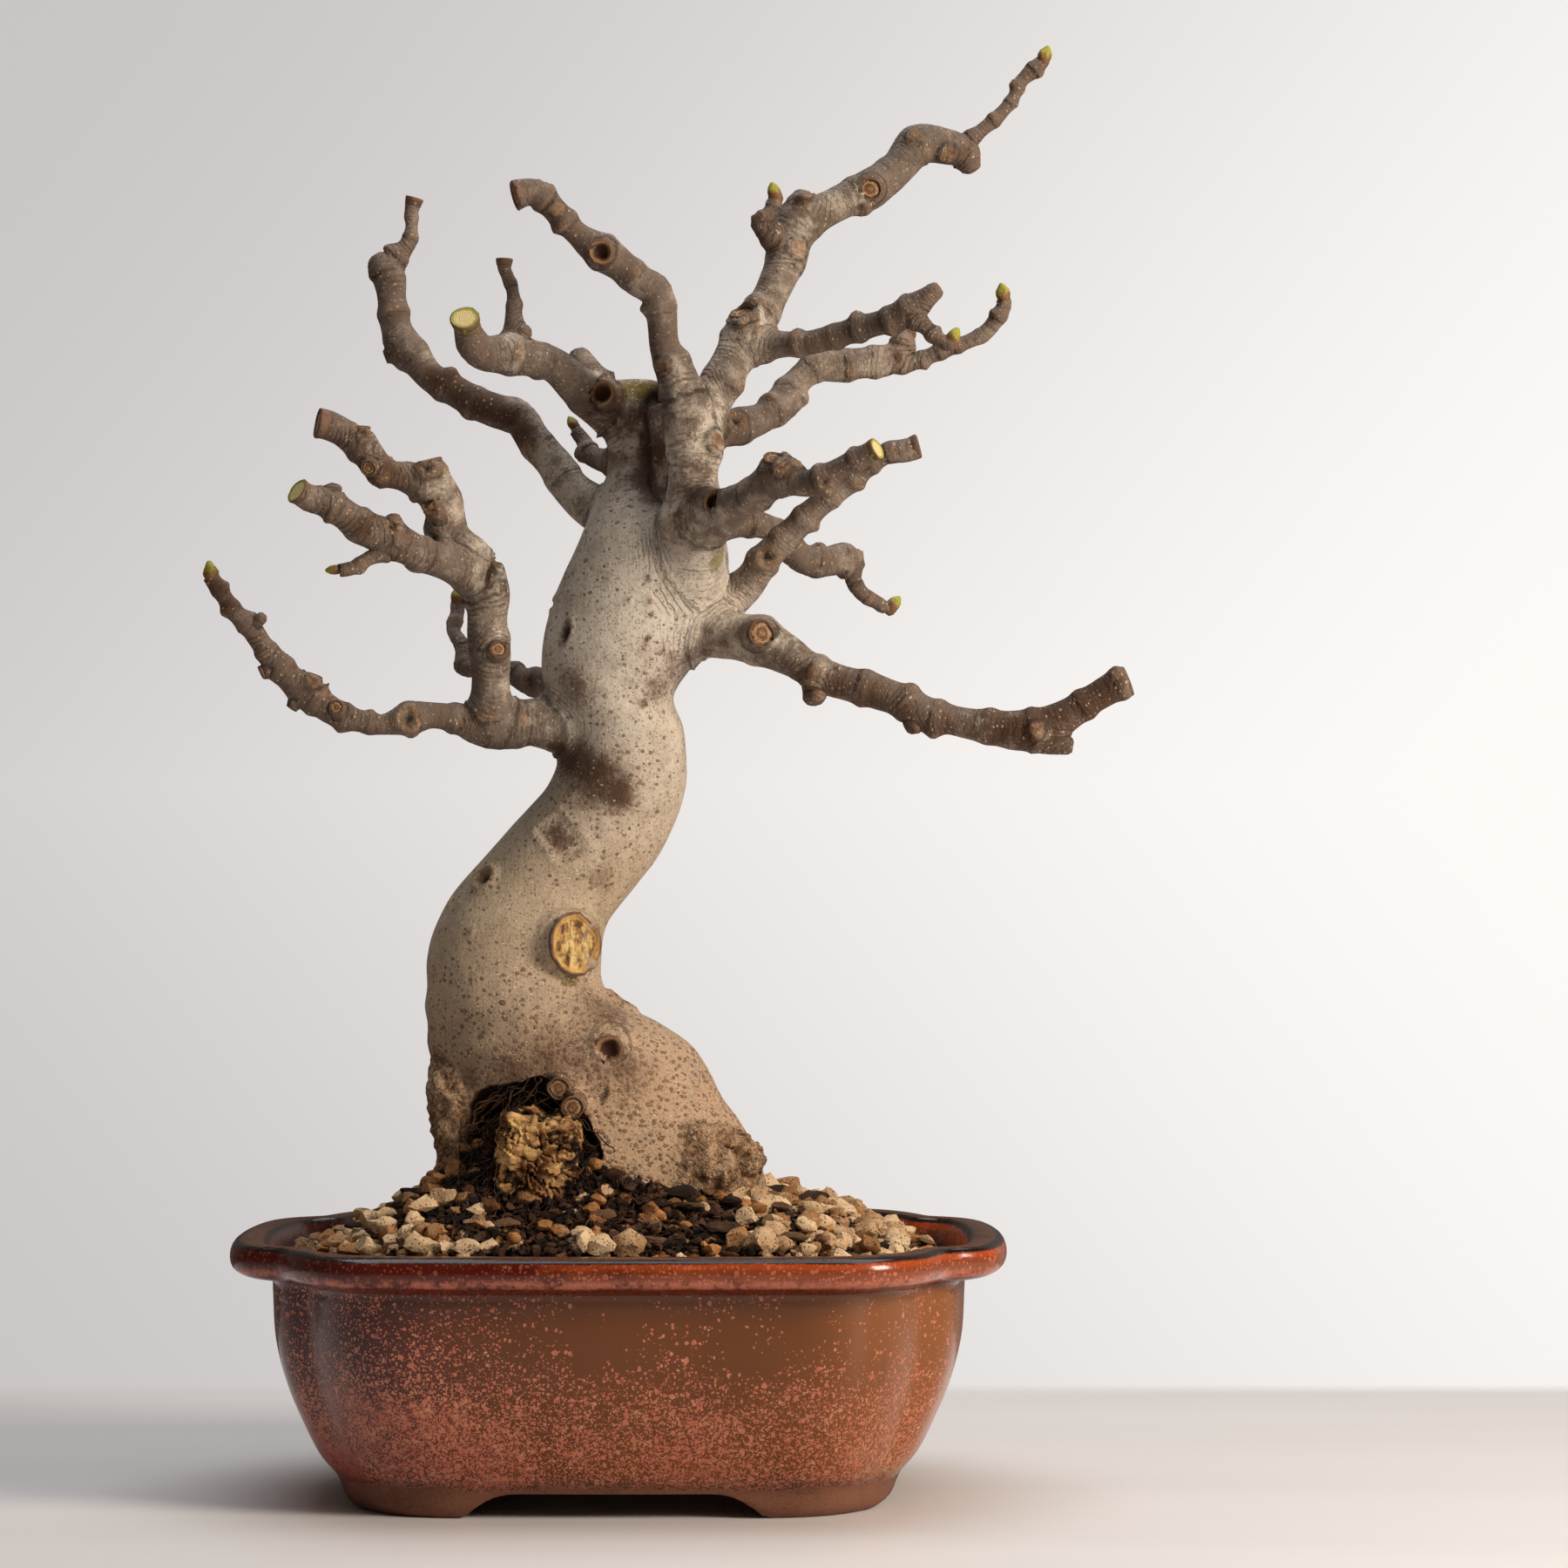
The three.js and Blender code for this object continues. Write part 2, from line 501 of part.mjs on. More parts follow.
/** The fired pot: lobed body, rim, hollow inside, four feet and two drain holes. */
function pot() {
  const rings = [...OUTER_WALL, ...INNER_WALL].map(([halfLength, z]) => planRing(halfLength, z));
  let solid = solidFrom(loft(rings));
  const footInside = OUTER_WALL[0][0] - FOOT_WIDTH;
  const under = [planRing(footInside, -1), planRing(footInside, FOOT_HEIGHT)];
  solid = solid.subtract(solidFrom(loft(under)));
  solid = solid.subtract(solidFrom(arch(ARCH_TOP_HALF_LENGTH, ARCH_FOOT_HALF_LENGTH, RIM_HALF_LENGTH)));
  const sideArch = arch(ARCH_TOP_HALF_DEPTH, ARCH_FOOT_HALF_DEPTH, RIM_HALF_LENGTH);
  solid = solid.subtract(solidFrom(sideArch.rotateZ(Math.PI / 2)));
  for (const side of [-1, 1]) {
    const hole = new THREE.CylinderGeometry(
      DRAIN_HOLE_RADIUS, DRAIN_HOLE_RADIUS, 3 * POT_FLOOR, DRAIN_HOLE_SIDES,
    );
    hole.rotateX(Math.PI / 2);
    hole.translate(side * DRAIN_HOLE_X, 0, POT_FLOOR);
    solid = solid.subtract(solidFrom(hole));
  }
  return solid;
}

/** Height of the soil's surface, from how far out it lies: 0 at the middle and 1 at the wall. */
function soilHeight(outward) {
  return SOIL_EDGE_HEIGHT + SOIL_MOUND_RISE * (1 - outward ** MOUND_POWER);
}

/** The bare body of soil, from the pot's floor up its wall and over the mound. */
function soilBody() {
  const wall = [...INNER_WALL].reverse();
  const rings = wall.map(([halfLength, z]) => planRing(halfLength - 2 * GAP, z + GAP));
  rings.push(planRing(SOIL_EDGE_HALF_LENGTH, SOIL_EDGE_HEIGHT));
  for (const outward of SOIL_RINGS) {
    const ring = planRing(SOIL_EDGE_HALF_LENGTH, 0).map(({ x, y }) => (
      new THREE.Vector3(x * outward, y * outward, soilHeight(outward))
    ));
    rings.push(ring);
  }
  return solidFrom(loft(rings));
}

/** One rough grain of the top dressing, sunk into the surface at a place. */
function grain(place, random) {
  const radius = GRAIN_RADIUS + GRAIN_RADIUS_SPREAD * random();
  const geometry = new THREE.OctahedronGeometry(radius, 0);
  geometry.scale(1, between(GRAIN_WIDTH, random()), between(GRAIN_FLATNESS, random()));
  geometry.rotateX(Math.PI * random());
  geometry.rotateZ(Math.PI * random());
  geometry.translate(place.x, place.y, place.z + GRAIN_LIFT * radius);
  return solidFrom(geometry);
}

/** Even places for the grains over the surface, apart from each other and clear of the tree's foot. */
function grainPlaces(random) {
  const edge = planRing(SOIL_EDGE_HALF_LENGTH, 0);
  const places = [];
  for (let tries = 0; places.length < GRAIN_COUNT && tries < GRAIN_TRIES; tries += 1) {
    const outward = Math.sqrt(between([GRAIN_INNERMOST ** 2, GRAIN_OUTERMOST ** 2], random()));
    const corner = Math.floor(random() * edge.length);
    const place = edge[corner].clone().lerp(edge[(corner + 1) % edge.length], random());
    place.multiplyScalar(outward).setZ(soilHeight(outward));
    const footX = (place.x - TREE_FOOT.middleX) / TREE_FOOT.halfLength;
    const inTree = footX ** 2 + (place.y / TREE_FOOT.halfDepth) ** 2 < 1;
    const crowded = places.some((other) => other.distanceTo(place) < GRAIN_SPACING);
    if (!inTree && !crowded) {
      places.push(place);
    }
  }
  return places;
}

/** The soil with its grains, shaped round the tree's foot and clear of the screens. */
function soil() {
  const random = seededRandom(GRAIN_SEED);
  const grains = [soilBody(), lump(SOIL_IN_HOLLOW)];
  for (const place of grainPlaces(random)) {
    grains.push(grain(place, random));
  }
  let solid = wasm.Manifold.union(grains);
  solid = solid.subtract(groundTree(GAP));
  for (const side of [-1, 1]) {
    const pocket = new THREE.BoxGeometry(SCREEN_POCKET, SCREEN_POCKET, 2 * SCREEN_POCKET_DEPTH);
    pocket.translate(side * DRAIN_HOLE_X, 0, POT_FLOOR);
    solid = solid.subtract(solidFrom(pocket));
  }
  const pieces = solid.decompose();
  return pieces.sort((a, b) => b.volume() - a.volume())[0];
}

/** The living tree in one piece, from its roots to its buds. */
function tree() {
  const solids = [groundTree(), ...Object.values(LIMBS).map((points) => limb(points))];
  return wasm.Manifold.union(solids);
}

/** A square plastic screen of crossed bars, with its lower face at z = 0. */
function screen() {
  const pitch = (SCREEN_SIZE - SCREEN_BAR_WIDTH) / (SCREEN_BARS - 1);
  const bars = [];
  for (let i = 0; i < SCREEN_BARS; i += 1) {
    const across = (i - (SCREEN_BARS - 1) / 2) * pitch;
    const bar = new THREE.BoxGeometry(SCREEN_SIZE, SCREEN_BAR_WIDTH, SCREEN_THICKNESS);
    bar.translate(0, across, SCREEN_THICKNESS / 2);
    bars.push(solidFrom(bar));
    bars.push(solidFrom(bar.rotateZ(Math.PI / 2)));
  }
  return wasm.Manifold.union(bars);
}

/** The wire that crosses a screen, drops through the drain hole and spreads under the pot. */
function clip() {
  const over = POT_FLOOR + GAP + SCREEN_THICKNESS + GAP + CLIP_RADIUS;
  const under = FOOT_HEIGHT - GAP - CLIP_RADIUS;
  const span = CLIP_HALF_SPAN;
  const half = [
    [0, 0, over],
    [span - CLIP_BEND, 0, over],
    [span, 0, over - CLIP_BEND],
    [span, 0, under + CLIP_FOOT_BEND],
    [span + CLIP_FOOT_BEND, 0, under],
    [CLIP_LEG, 0, under],
  ];
  const points = [...half.slice(1).reverse().map(([x, y, z]) => [-x, y, z]), ...half];
  const line = new THREE.CatmullRomCurve3(points.map((p) => new THREE.Vector3(...p)), false, 'centripetal');
  const corners = Array.from({ length: TWIG_SIDES }, (_, i) => {
    const turn = (2 * Math.PI * i) / TWIG_SIDES;
    return new THREE.Vector2(CLIP_RADIUS * Math.cos(turn), CLIP_RADIUS * Math.sin(turn));
  });
  return new THREE.ExtrudeGeometry(new THREE.Shape(corners), { steps: CLIP_STEPS, extrudePath: line });
}

const glaze = new THREE.MeshStandardMaterial({ color: 0x7a4634, roughness: 0.25, metalness: 0 });
const earth = new THREE.MeshStandardMaterial({ color: 0x4a3a2c, roughness: 0.95, metalness: 0 });
const bark = new THREE.MeshStandardMaterial({ color: 0x9d9184, roughness: 0.8, metalness: 0 });
const plastic = new THREE.MeshStandardMaterial({ color: 0x1f1f1f, roughness: 0.6, metalness: 0 });
const wire = new THREE.MeshStandardMaterial({ color: 0x8c8f92, roughness: 0.4, metalness: 1 });

const bonsai = new THREE.Group();
bonsai.add(meshFrom('pot', pot(), glaze));
bonsai.add(meshFrom('soil', soil(), earth));
bonsai.add(meshFrom('tree', tree(), bark));
for (const [side, x] of [['left', -DRAIN_HOLE_X], ['right', DRAIN_HOLE_X]]) {
  const screenMesh = meshFrom(`drain_screen_${side}`, screen(), plastic);
  screenMesh.position.set(x, 0, POT_FLOOR + GAP);
  const clipMesh = meshFrom(`screen_clip_${side}`, solidFrom(clip()), wire);
  clipMesh.position.set(x, 0, 0);
  bonsai.add(screenMesh, clipMesh);
}

// The group's origin comes to the middle of its footprint
const extent = new THREE.Box3().setFromObject(bonsai);
const middle = extent.getCenter(new THREE.Vector3());
bonsai.position.set(-middle.x, -middle.y, -extent.min.z);

export default bonsai;
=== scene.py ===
"""The looks of a leafless fig bonsai in a glazed pot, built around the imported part.

Metres throughout, +Z up, +X to the right and +Y to the back. Tables are in millimetres from the middle
of the pot, on the surface it stands on.
"""
import logging
import math
import random
from dataclasses import dataclass, field, fields
from enum import Enum
from functools import reduce
from typing import Any, Callable, Iterable, Sequence

import bmesh
import bpy
import numpy as np
from mathutils import Matrix, Vector, noise
from mathutils.bvhtree import BVHTree


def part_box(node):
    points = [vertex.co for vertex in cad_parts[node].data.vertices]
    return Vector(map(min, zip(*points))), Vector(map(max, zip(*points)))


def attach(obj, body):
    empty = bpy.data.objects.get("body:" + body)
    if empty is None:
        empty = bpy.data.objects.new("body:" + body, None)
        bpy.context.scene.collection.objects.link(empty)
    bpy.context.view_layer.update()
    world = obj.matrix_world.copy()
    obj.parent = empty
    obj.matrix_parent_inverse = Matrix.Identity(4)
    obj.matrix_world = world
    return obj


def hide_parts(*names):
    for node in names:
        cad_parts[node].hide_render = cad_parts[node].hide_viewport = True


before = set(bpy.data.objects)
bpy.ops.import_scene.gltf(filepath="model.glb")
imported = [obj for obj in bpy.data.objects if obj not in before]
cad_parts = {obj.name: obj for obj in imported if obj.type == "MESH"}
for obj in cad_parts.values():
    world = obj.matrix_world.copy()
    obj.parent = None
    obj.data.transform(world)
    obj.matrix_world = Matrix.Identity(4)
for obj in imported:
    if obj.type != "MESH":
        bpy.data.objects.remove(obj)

LOG = logging.getLogger("bonsai")
MM = 0.001
BODY = "root"
Colour = tuple[float, float, float]


def colour(red: int, green: int, blue: int) -> Colour:
    """A linear colour from screen values of 0 to 255."""
    return tuple((value / 255) ** 2.2 for value in (red, green, blue))


def smoothstep(low: float, high: float, value: Any) -> Any:
    """A smooth step from 0 at low to 1 at high, for numbers and arrays."""
    share = np.clip((value - low) / (high - low), 0.0, 1.0)
    return share * share * (3.0 - 2.0 * share)


def fade(low: float, high: float, value: Any) -> Any:
    """A smooth step from 1 at low down to 0 at high."""
    return 1.0 - smoothstep(low, high, value)


def bell(value: Any, middle: float, width: float) -> Any:
    """A bell curve of height 1 round a middle."""
    return np.exp(-((value - middle) / width) ** 2)


# Shader expressions


class Signal:
    """A shader socket that takes part in Python expressions."""

    def __init__(self, graph: "Graph", socket: Any) -> None:
        """Keeps the socket and the graph that it belongs to."""
        self.graph = graph
        self.socket = socket

    def math(self, operation: str, other: Any = None, swapped: bool = False) -> "Signal":
        """Adds one Math node.

        Args:
            operation: The Math node's operation.
            other: The second number or signal.
            swapped: Whether the second one stands first.

        Returns:
            The node's value.
        """
        values = [self] if other is None else [self, other]
        if swapped:
            values.reverse()
        sockets = dict(enumerate(values))
        return self.graph.node("ShaderNodeMath", {"operation": operation}, sockets)

    def __add__(self, other: Any) -> "Signal":
        """Sum."""
        return self.math("ADD", other)

    def __sub__(self, other: Any) -> "Signal":
        """Difference."""
        return self.math("SUBTRACT", other)

    def __mul__(self, other: Any) -> "Signal":
        """Product."""
        return self.math("MULTIPLY", other)

    def __abs__(self) -> "Signal":
        """Size without sign."""
        return self.math("ABSOLUTE")

    def __rsub__(self, other: Any) -> "Signal":
        """Difference from a number."""
        return self.math("SUBTRACT", other, swapped=True)

    __radd__ = __add__
    __rmul__ = __mul__

    def low(self, other: Any) -> "Signal":
        """The lower of two."""
        return self.math("MINIMUM", other)

    def high(self, other: Any) -> "Signal":
        """The higher of two."""
        return self.math("MAXIMUM", other)

    def step(self, start: float, end: float, low: float = 0.0, high: float = 1.0) -> "Signal":
        """A smooth step between two values.

        Args:
            start: Where the step starts.
            end: Where it ends.
            low: The value before it.
            high: The value after it.

        Returns:
            The stepped signal.
        """
        settings = {"interpolation_type": "SMOOTHSTEP"}
        if start > end:
            start, end, low, high = end, start, high, low
        return self.graph.node(
            "ShaderNodeMapRange", settings, {0: self, 1: start, 2: end, 3: low, 4: high}
        )


class Graph:
    """The node tree of one material, and one method that adds any node to it."""

    def __init__(self, name: str) -> None:
        """Starts an empty material."""
        self.material = bpy.data.materials.new(name)
        self.material.use_nodes = True
        self.tree = self.material.node_tree
        self.tree.nodes.clear()

    @classmethod
    def over(cls, tree: bpy.types.NodeTree) -> "Graph":
        """A graph over a node tree that isn't a material's."""
        graph = cls.__new__(cls)
        graph.tree = tree
        return graph

    def node(self, kind: str, settings: dict, sockets: dict, output: Any = 0) -> Signal:
        """Adds a node.

        Args:
            kind: The node's type.
            settings: Its settings, with a ramp's stops under the name stops.
            sockets: Values or signals by the input's name or number.
            output: The wanted output's name or number.

        Returns:
            The output as a signal.
        """
        added = self.tree.nodes.new(kind)
        for name, value in settings.items():
            if name == "stops":
                self.fill_ramp(added.color_ramp, value)
            else:
                setattr(added, name, value)
        for name, value in sockets.items():
            socket = added.inputs[name]
            if isinstance(value, Signal):
                self.tree.links.new(value.socket, socket)
            elif socket.type == "RGBA":
                socket.default_value = (*value[:3], 1.0)
            else:
                socket.default_value = value
        return Signal(self, added.outputs[output] if added.outputs else None)

    @staticmethod
    def fill_ramp(ramp: Any, stops: Sequence[tuple[float, Colour]]) -> None:
        """Puts stops into a colour ramp.

        Args:
            ramp: The ramp.
            stops: Places from 0 to 1 with their colours.
        """
        while len(ramp.elements) < len(stops):
            ramp.elements.new(0.5)
        for element, (place, shade) in zip(ramp.elements, stops):
            element.position = place
            element.color = (*shade[:3], 1.0)

    def coordinates(self) -> Signal:
        """Object coordinates."""
        return self.node("ShaderNodeTexCoord", {}, {}, "Object")

    def attribute(self, name: str, output: str = "Fac") -> Signal:
        """A mesh attribute by its name."""
        return self.node("ShaderNodeAttribute", {"attribute_name": name}, {}, output)

    def parts(self, vector: Signal) -> tuple[Signal, Signal, Signal]:
        """The three numbers of a vector or colour."""
        added = self.node("ShaderNodeSeparateXYZ", {}, {0: vector})
        outputs = added.socket.node.outputs
        return tuple(Signal(self, outputs[i]) for i in range(3))

    def scaled(self, vector: Signal, scale: Sequence[float], shift: Sequence[float] = (0, 0, 0)) -> Signal:
        """A vector scaled along its axes and then shifted."""
        sockets = {"Vector": vector, "Scale": scale, "Location": shift}
        return self.node("ShaderNodeMapping", {"vector_type": "POINT"}, sockets)

    def noise(self, vector: Signal, scale: float, detail: float = 3.0, rough: float = 0.55) -> Signal:
        """A noise from 0 to 1, with so many waves a metre."""
        sockets = {"Vector": vector, "Scale": scale, "Detail": detail, "Roughness": rough}
        return self.node("ShaderNodeTexNoise", {}, sockets)

    def cells(self, vector: Signal, scale: float, feature: str = "F1", output: str = "Distance") -> Signal:
        """One output of a pattern with so many cells a metre."""
        sockets = {"Vector": vector, "Scale": scale}
        return self.node("ShaderNodeTexVoronoi", {"feature": feature}, sockets, output)

    def dots(self, where: Signal, scale: float, size: float, density: Any, least: float = 0.6,
             edge: tuple[float, float] = (-0.04, 0.06)) -> Signal:
        """Small round dots on a share of the cells of a pattern.

        Args:
            where: Where the pattern is read.
            scale: Cells a metre.
            size: A dot's radius as a share of a cell.
            density: Share of the cells that hold one.
            least: Share of that radius that the smallest dot has.
            edge: Where its soft edge starts and ends.

        Returns:
            A mask.
        """
        distance = self.cells(where, scale)
        pick, vary, _ = self.parts(self.cells(where, scale, output="Color"))
        reach = size * (least + vary * 0.6)
        return (reach - distance).step(*edge) * (density - pick).step(0.0, 0.03)

    def mix(self, first: Any, second: Any, share: Any) -> Signal:
        """Mixes two colours, the first at share 0 and the second at share 1."""
        return self.node("ShaderNodeMix", {"data_type": "RGBA"}, {0: share, 6: first, 7: second}, 2)

    def ramp(self, value: Signal, stops: Sequence[tuple[float, Colour]]) -> Signal:
        """A colour ramp over a signal."""
        return self.node("ShaderNodeValToRGB", {"stops": stops}, {0: value})

    def bump(self, height: Signal, distance: float, strength: float) -> Signal:
        """A normal bumped by a relief of so many metres."""
        sockets = {"Height": height, "Distance": distance, "Strength": strength}
        return self.node("ShaderNodeBump", {}, sockets)

    def finish(self, **sockets: Any) -> bpy.types.Material:
        """Adds the shader and the output.

        Args:
            **sockets: The shader's inputs by name, with spaces as underscores.

        Returns:
            The finished material.
        """
        named = {name.replace("_", " "): value for name, value in sockets.items()}
        shader = self.node("ShaderNodeBsdfPrincipled", {}, named)
        self.node("ShaderNodeOutputMaterial", {}, {"Surface": shader})
        return self.material


# Places and meshes


POT_LOW, POT_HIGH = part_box("pot")
POT_MIDDLE = Vector(((POT_LOW.x + POT_HIGH.x) / 2, (POT_LOW.y + POT_HIGH.y) / 2, POT_LOW.z))


def place(x: float, y: float, z: float) -> Vector:
    """A point of the tables, in metres in the part's frame."""
    return POT_MIDDLE + Vector((x, y, z)) * MM


@dataclass(frozen=True)
class Eye:
    """Where the photograph was taken from, in millimetres, and how it maps to its picture."""

    x: float = 53.0
    y: float = -1671.0
    z: float = 229.0
    focal_px: float = 5915.0
    middle_px: float = 900.0
    sensor_mm: float = 36.0

    def lens_mm(self) -> float:
        """The lens that gives the photograph's angle of view."""
        return self.focal_px / (2 * self.middle_px) * self.sensor_mm

    def ray(self, px: float, py: float, turn: float = 0.0) -> tuple[Vector, Vector]:
        """The line of sight through a point of the picture.

        Args:
            px: Pixels from the left.
            py: Pixels from the top.
            turn: Degrees by which the eye goes round the pot first.

        Returns:
            Its start and its direction.
        """
        across = (px - self.middle_px) / self.focal_px
        down = (py - self.middle_px) / self.focal_px
        round_pot = Matrix.Rotation(math.radians(turn), 3, "Z")
        start = POT_MIDDLE + round_pot @ (Vector((self.x, self.y, self.z)) * MM)
        return start, round_pot @ Vector((across, 1.0, -down)).normalized()


EYE = Eye()


def linked(name: str, data: Any) -> bpy.types.Object:
    """Puts a mesh, lamp or camera into the scene."""
    made = bpy.data.objects.new(name, data)
    bpy.context.scene.collection.objects.link(made)
    return made


def show(name: str, mesh: bpy.types.Mesh, material: bpy.types.Material, node: str) -> None:
    """Puts a finished mesh into the scene as a piece of the bonsai.

    Args:
        name: The piece's name.
        mesh: Its mesh, in place.
        material: Its finish.
        node: The solid that it stands for.
    """
    mesh.name = name
    mesh.materials.clear()
    mesh.materials.append(material)
    mesh.polygons.foreach_set("use_smooth", [True] * len(mesh.polygons))
    piece = linked(name, mesh)
    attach(piece, BODY)
    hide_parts(node)
    mesh.calc_loop_triangles()
    LOG.info("%s: %d triangles", name, len(mesh.loop_triangles))


def to_mesh(bm: bmesh.types.BMesh, name: str) -> bpy.types.Mesh:
    """Turns a bmesh into a mesh and frees it."""
    mesh = bpy.data.meshes.new(name)
    bm.to_mesh(mesh)
    bm.free()
    return mesh


def rows_of(mesh: bpy.types.Mesh, key: str = "co") -> np.ndarray:
    """The mesh's points, or the normals there, as rows of an array."""
    flat = np.empty(len(mesh.vertices) * 3, dtype=np.float64)
    mesh.vertices.foreach_get(key, flat)
    return flat.reshape(-1, 3)


def set_points(mesh: bpy.types.Mesh, points: np.ndarray) -> None:
    """Moves the mesh's points."""
    mesh.vertices.foreach_set("co", points.ravel())
    mesh.update()


def set_attribute(mesh: bpy.types.Mesh, name: str, values: np.ndarray) -> None:
    """Writes one number or vector for each point.

    Args:
        mesh: The mesh.
        name: The attribute's name.
        values: A flat array, or one with three columns.
    """
    kind, key = ("FLOAT", "value") if values.ndim == 1 else ("FLOAT_VECTOR", "vector")
    attribute = mesh.attributes.new(name, kind, "POINT")
    attribute.data.foreach_set(key, values.astype(np.float32).ravel())


def noise_at(points: np.ndarray, wave_mm: float, seed: float = 0.0, octaves: int = 2) -> np.ndarray:
    """Noise from about -1 to 1 at points in metres.

    Args:
        points: Rows of points.
        wave_mm: Length of the longest wave.
        seed: Shifts the pattern.
        octaves: How many waves are added up.

    Returns:
        One value for each point.
    """
    scaled = points / (wave_mm * MM) + seed
    total = np.zeros(len(points))
    share = 1.0
    for _ in range(octaves):
        total += share * np.array([noise.noise(row) for row in scaled.tolist()])
        scaled = scaled * 2.03 + 11.3
        share *= 0.5
    return total


def merged(parts: Iterable[bmesh.types.BMesh]) -> bmesh.types.BMesh:
    """Puts several bmeshes into one and frees them."""
    whole = bmesh.new()
    for part in parts:
        mesh = to_mesh(part, "part")
        whole.from_mesh(mesh)
        bpy.data.meshes.remove(mesh)
    return whole


def worked(mesh: bpy.types.Mesh, kind: str, **settings: Any) -> bpy.types.Mesh:
    """Runs one modifier over a mesh.

    Args:
        mesh: The mesh.
        kind: The modifier's type.
        **settings: Its settings.

    Returns:
        The new mesh.
    """
    helper = linked("helper", mesh)
    modifier = helper.modifiers.new("work", kind)
    for name, value in settings.items():
        setattr(modifier, name, value)
    graph = bpy.context.evaluated_depsgraph_get()
    result = bpy.data.meshes.new_from_object(helper.evaluated_get(graph), depsgraph=graph)
    bpy.data.objects.remove(helper)
    return result


def spline(known: np.ndarray, step: float) -> np.ndarray:
    """A smooth curve through rows of numbers.

    Args:
        known: The rows that it passes through.
        step: Distance between the rows of the result.

    Returns:
        The rows of the curve.
    """
    ends = [2 * known[0] - known[1], *known, 2 * known[-1] - known[-2]]
    rows = [known[:1]]
    for a, b, c, d in zip(ends, ends[1:], ends[2:], ends[3:]):
        t0 = 0.0
        t1 = t0 + np.linalg.norm((b - a)[:3]) ** 0.5
        t2 = t1 + np.linalg.norm((c - b)[:3]) ** 0.5
        t3 = t2 + np.linalg.norm((d - c)[:3]) ** 0.5
        steps = max(2, round(np.linalg.norm((c - b)[:3]) / step))
        t = np.linspace(t1, t2, steps + 1)[1:, None]
        ab = (t1 - t) / (t1 - t0) * a + (t - t0) / (t1 - t0) * b
        bc = (t2 - t) / (t2 - t1) * b + (t - t1) / (t2 - t1) * c
        cd = (t3 - t) / (t3 - t2) * c + (t - t2) / (t3 - t2) * d
        abc = (t2 - t) / (t2 - t0) * ab + (t - t0) / (t2 - t0) * bc
        bcd = (t3 - t) / (t3 - t1) * bc + (t - t1) / (t3 - t1) * cd
        rows.append((t2 - t) / (t2 - t1) * abc + (t - t1) / (t2 - t1) * bcd)
    return np.concatenate(rows)


def bezier(points: Sequence[Sequence[float]], steps: int) -> np.ndarray:
    """Rows along a curve that its inner points pull, without its last point.

    Args:
        points: Its start, the points that pull it, and its end.
        steps: How many rows.

    Returns:
        The rows.
    """
    share = np.linspace(0, 1, steps, endpoint=False)[:, None]
    rows = [np.tile(np.array(point, dtype=float), (steps, 1)) for point in points]
    while len(rows) > 1:
        rows = [a * (1 - share) + b * share for a, b in zip(rows, rows[1:])]
    return rows[0]


# The tree


class End(Enum):
    """How a run of wood ends."""

    HIDDEN = "inside other wood"
    WOUND = "a wide cut with bare yellow wood and dark decay"
    BUD = "a pointed bud"
    ROUND = "a healed, rounded stub"
    OLD = "a brown old cut"
    FRESH = "a pale cut with a green rim"
    HOLLOW = "a healed ring round a dark hollow"


# Millimetres by which the skin is drawn back under a cut face.
END_DEPTH = {End.WOUND: 1.8, End.OLD: 1.8, End.FRESH: 1.8, End.HOLLOW: 3.2}

# Share of the wood's radius, and millimetres above its end.
END_PROFILES = {
    End.WOUND: ((0.9, -3.2), (1.0, -0.9), (1.02, 0.1), (0.96, 0.5), (0.9, 0.1), (0.86, -0.35), (0.6, -0.2),
                (0.35, 0.1), (0.12, 0.0)),
    End.OLD: ((0.9, -3.2), (1.0, -0.9), (1.03, -0.1), (0.97, 0.35), (0.88, 0.3), (0.8, -0.7), (0.7, -0.15),
              (0.5, -0.3), (0.2, -0.2)),
    End.FRESH: ((0.9, -3.2), (0.99, -0.9), (1.02, -0.1), (0.98, 0.15), (0.9, 0.12), (0.8, 0.02), (0.5, -0.05),
                (0.15, 0.0)),
    End.HOLLOW: ((0.86, -4.4), (1.0, -1.4), (1.07, 0.0), (0.99, 0.5), (0.82, 0.35), (0.62, -0.6),
        (0.45, -1.7),          (0.2, -2.2)),
}
CUT_KINDS = {End.OLD: 0.0, End.FRESH: 1.0, End.HOLLOW: 2.0, End.WOUND: 3.0}
BUD_PROFILE = ((1.5, -7.4), (2.1, -6.2), (2.35, -4.9), (2.4, -3.8), (2.0, -2.4), (1.35, -1.2), (0.5, -0.05))


@dataclass(frozen=True)
class Run:
    """A limb or twig: points of its middle with its radius, from where it grows out to its end."""

    end: End
    points: tuple[tuple[float, float, float, float], ...]
    fine: bool = False


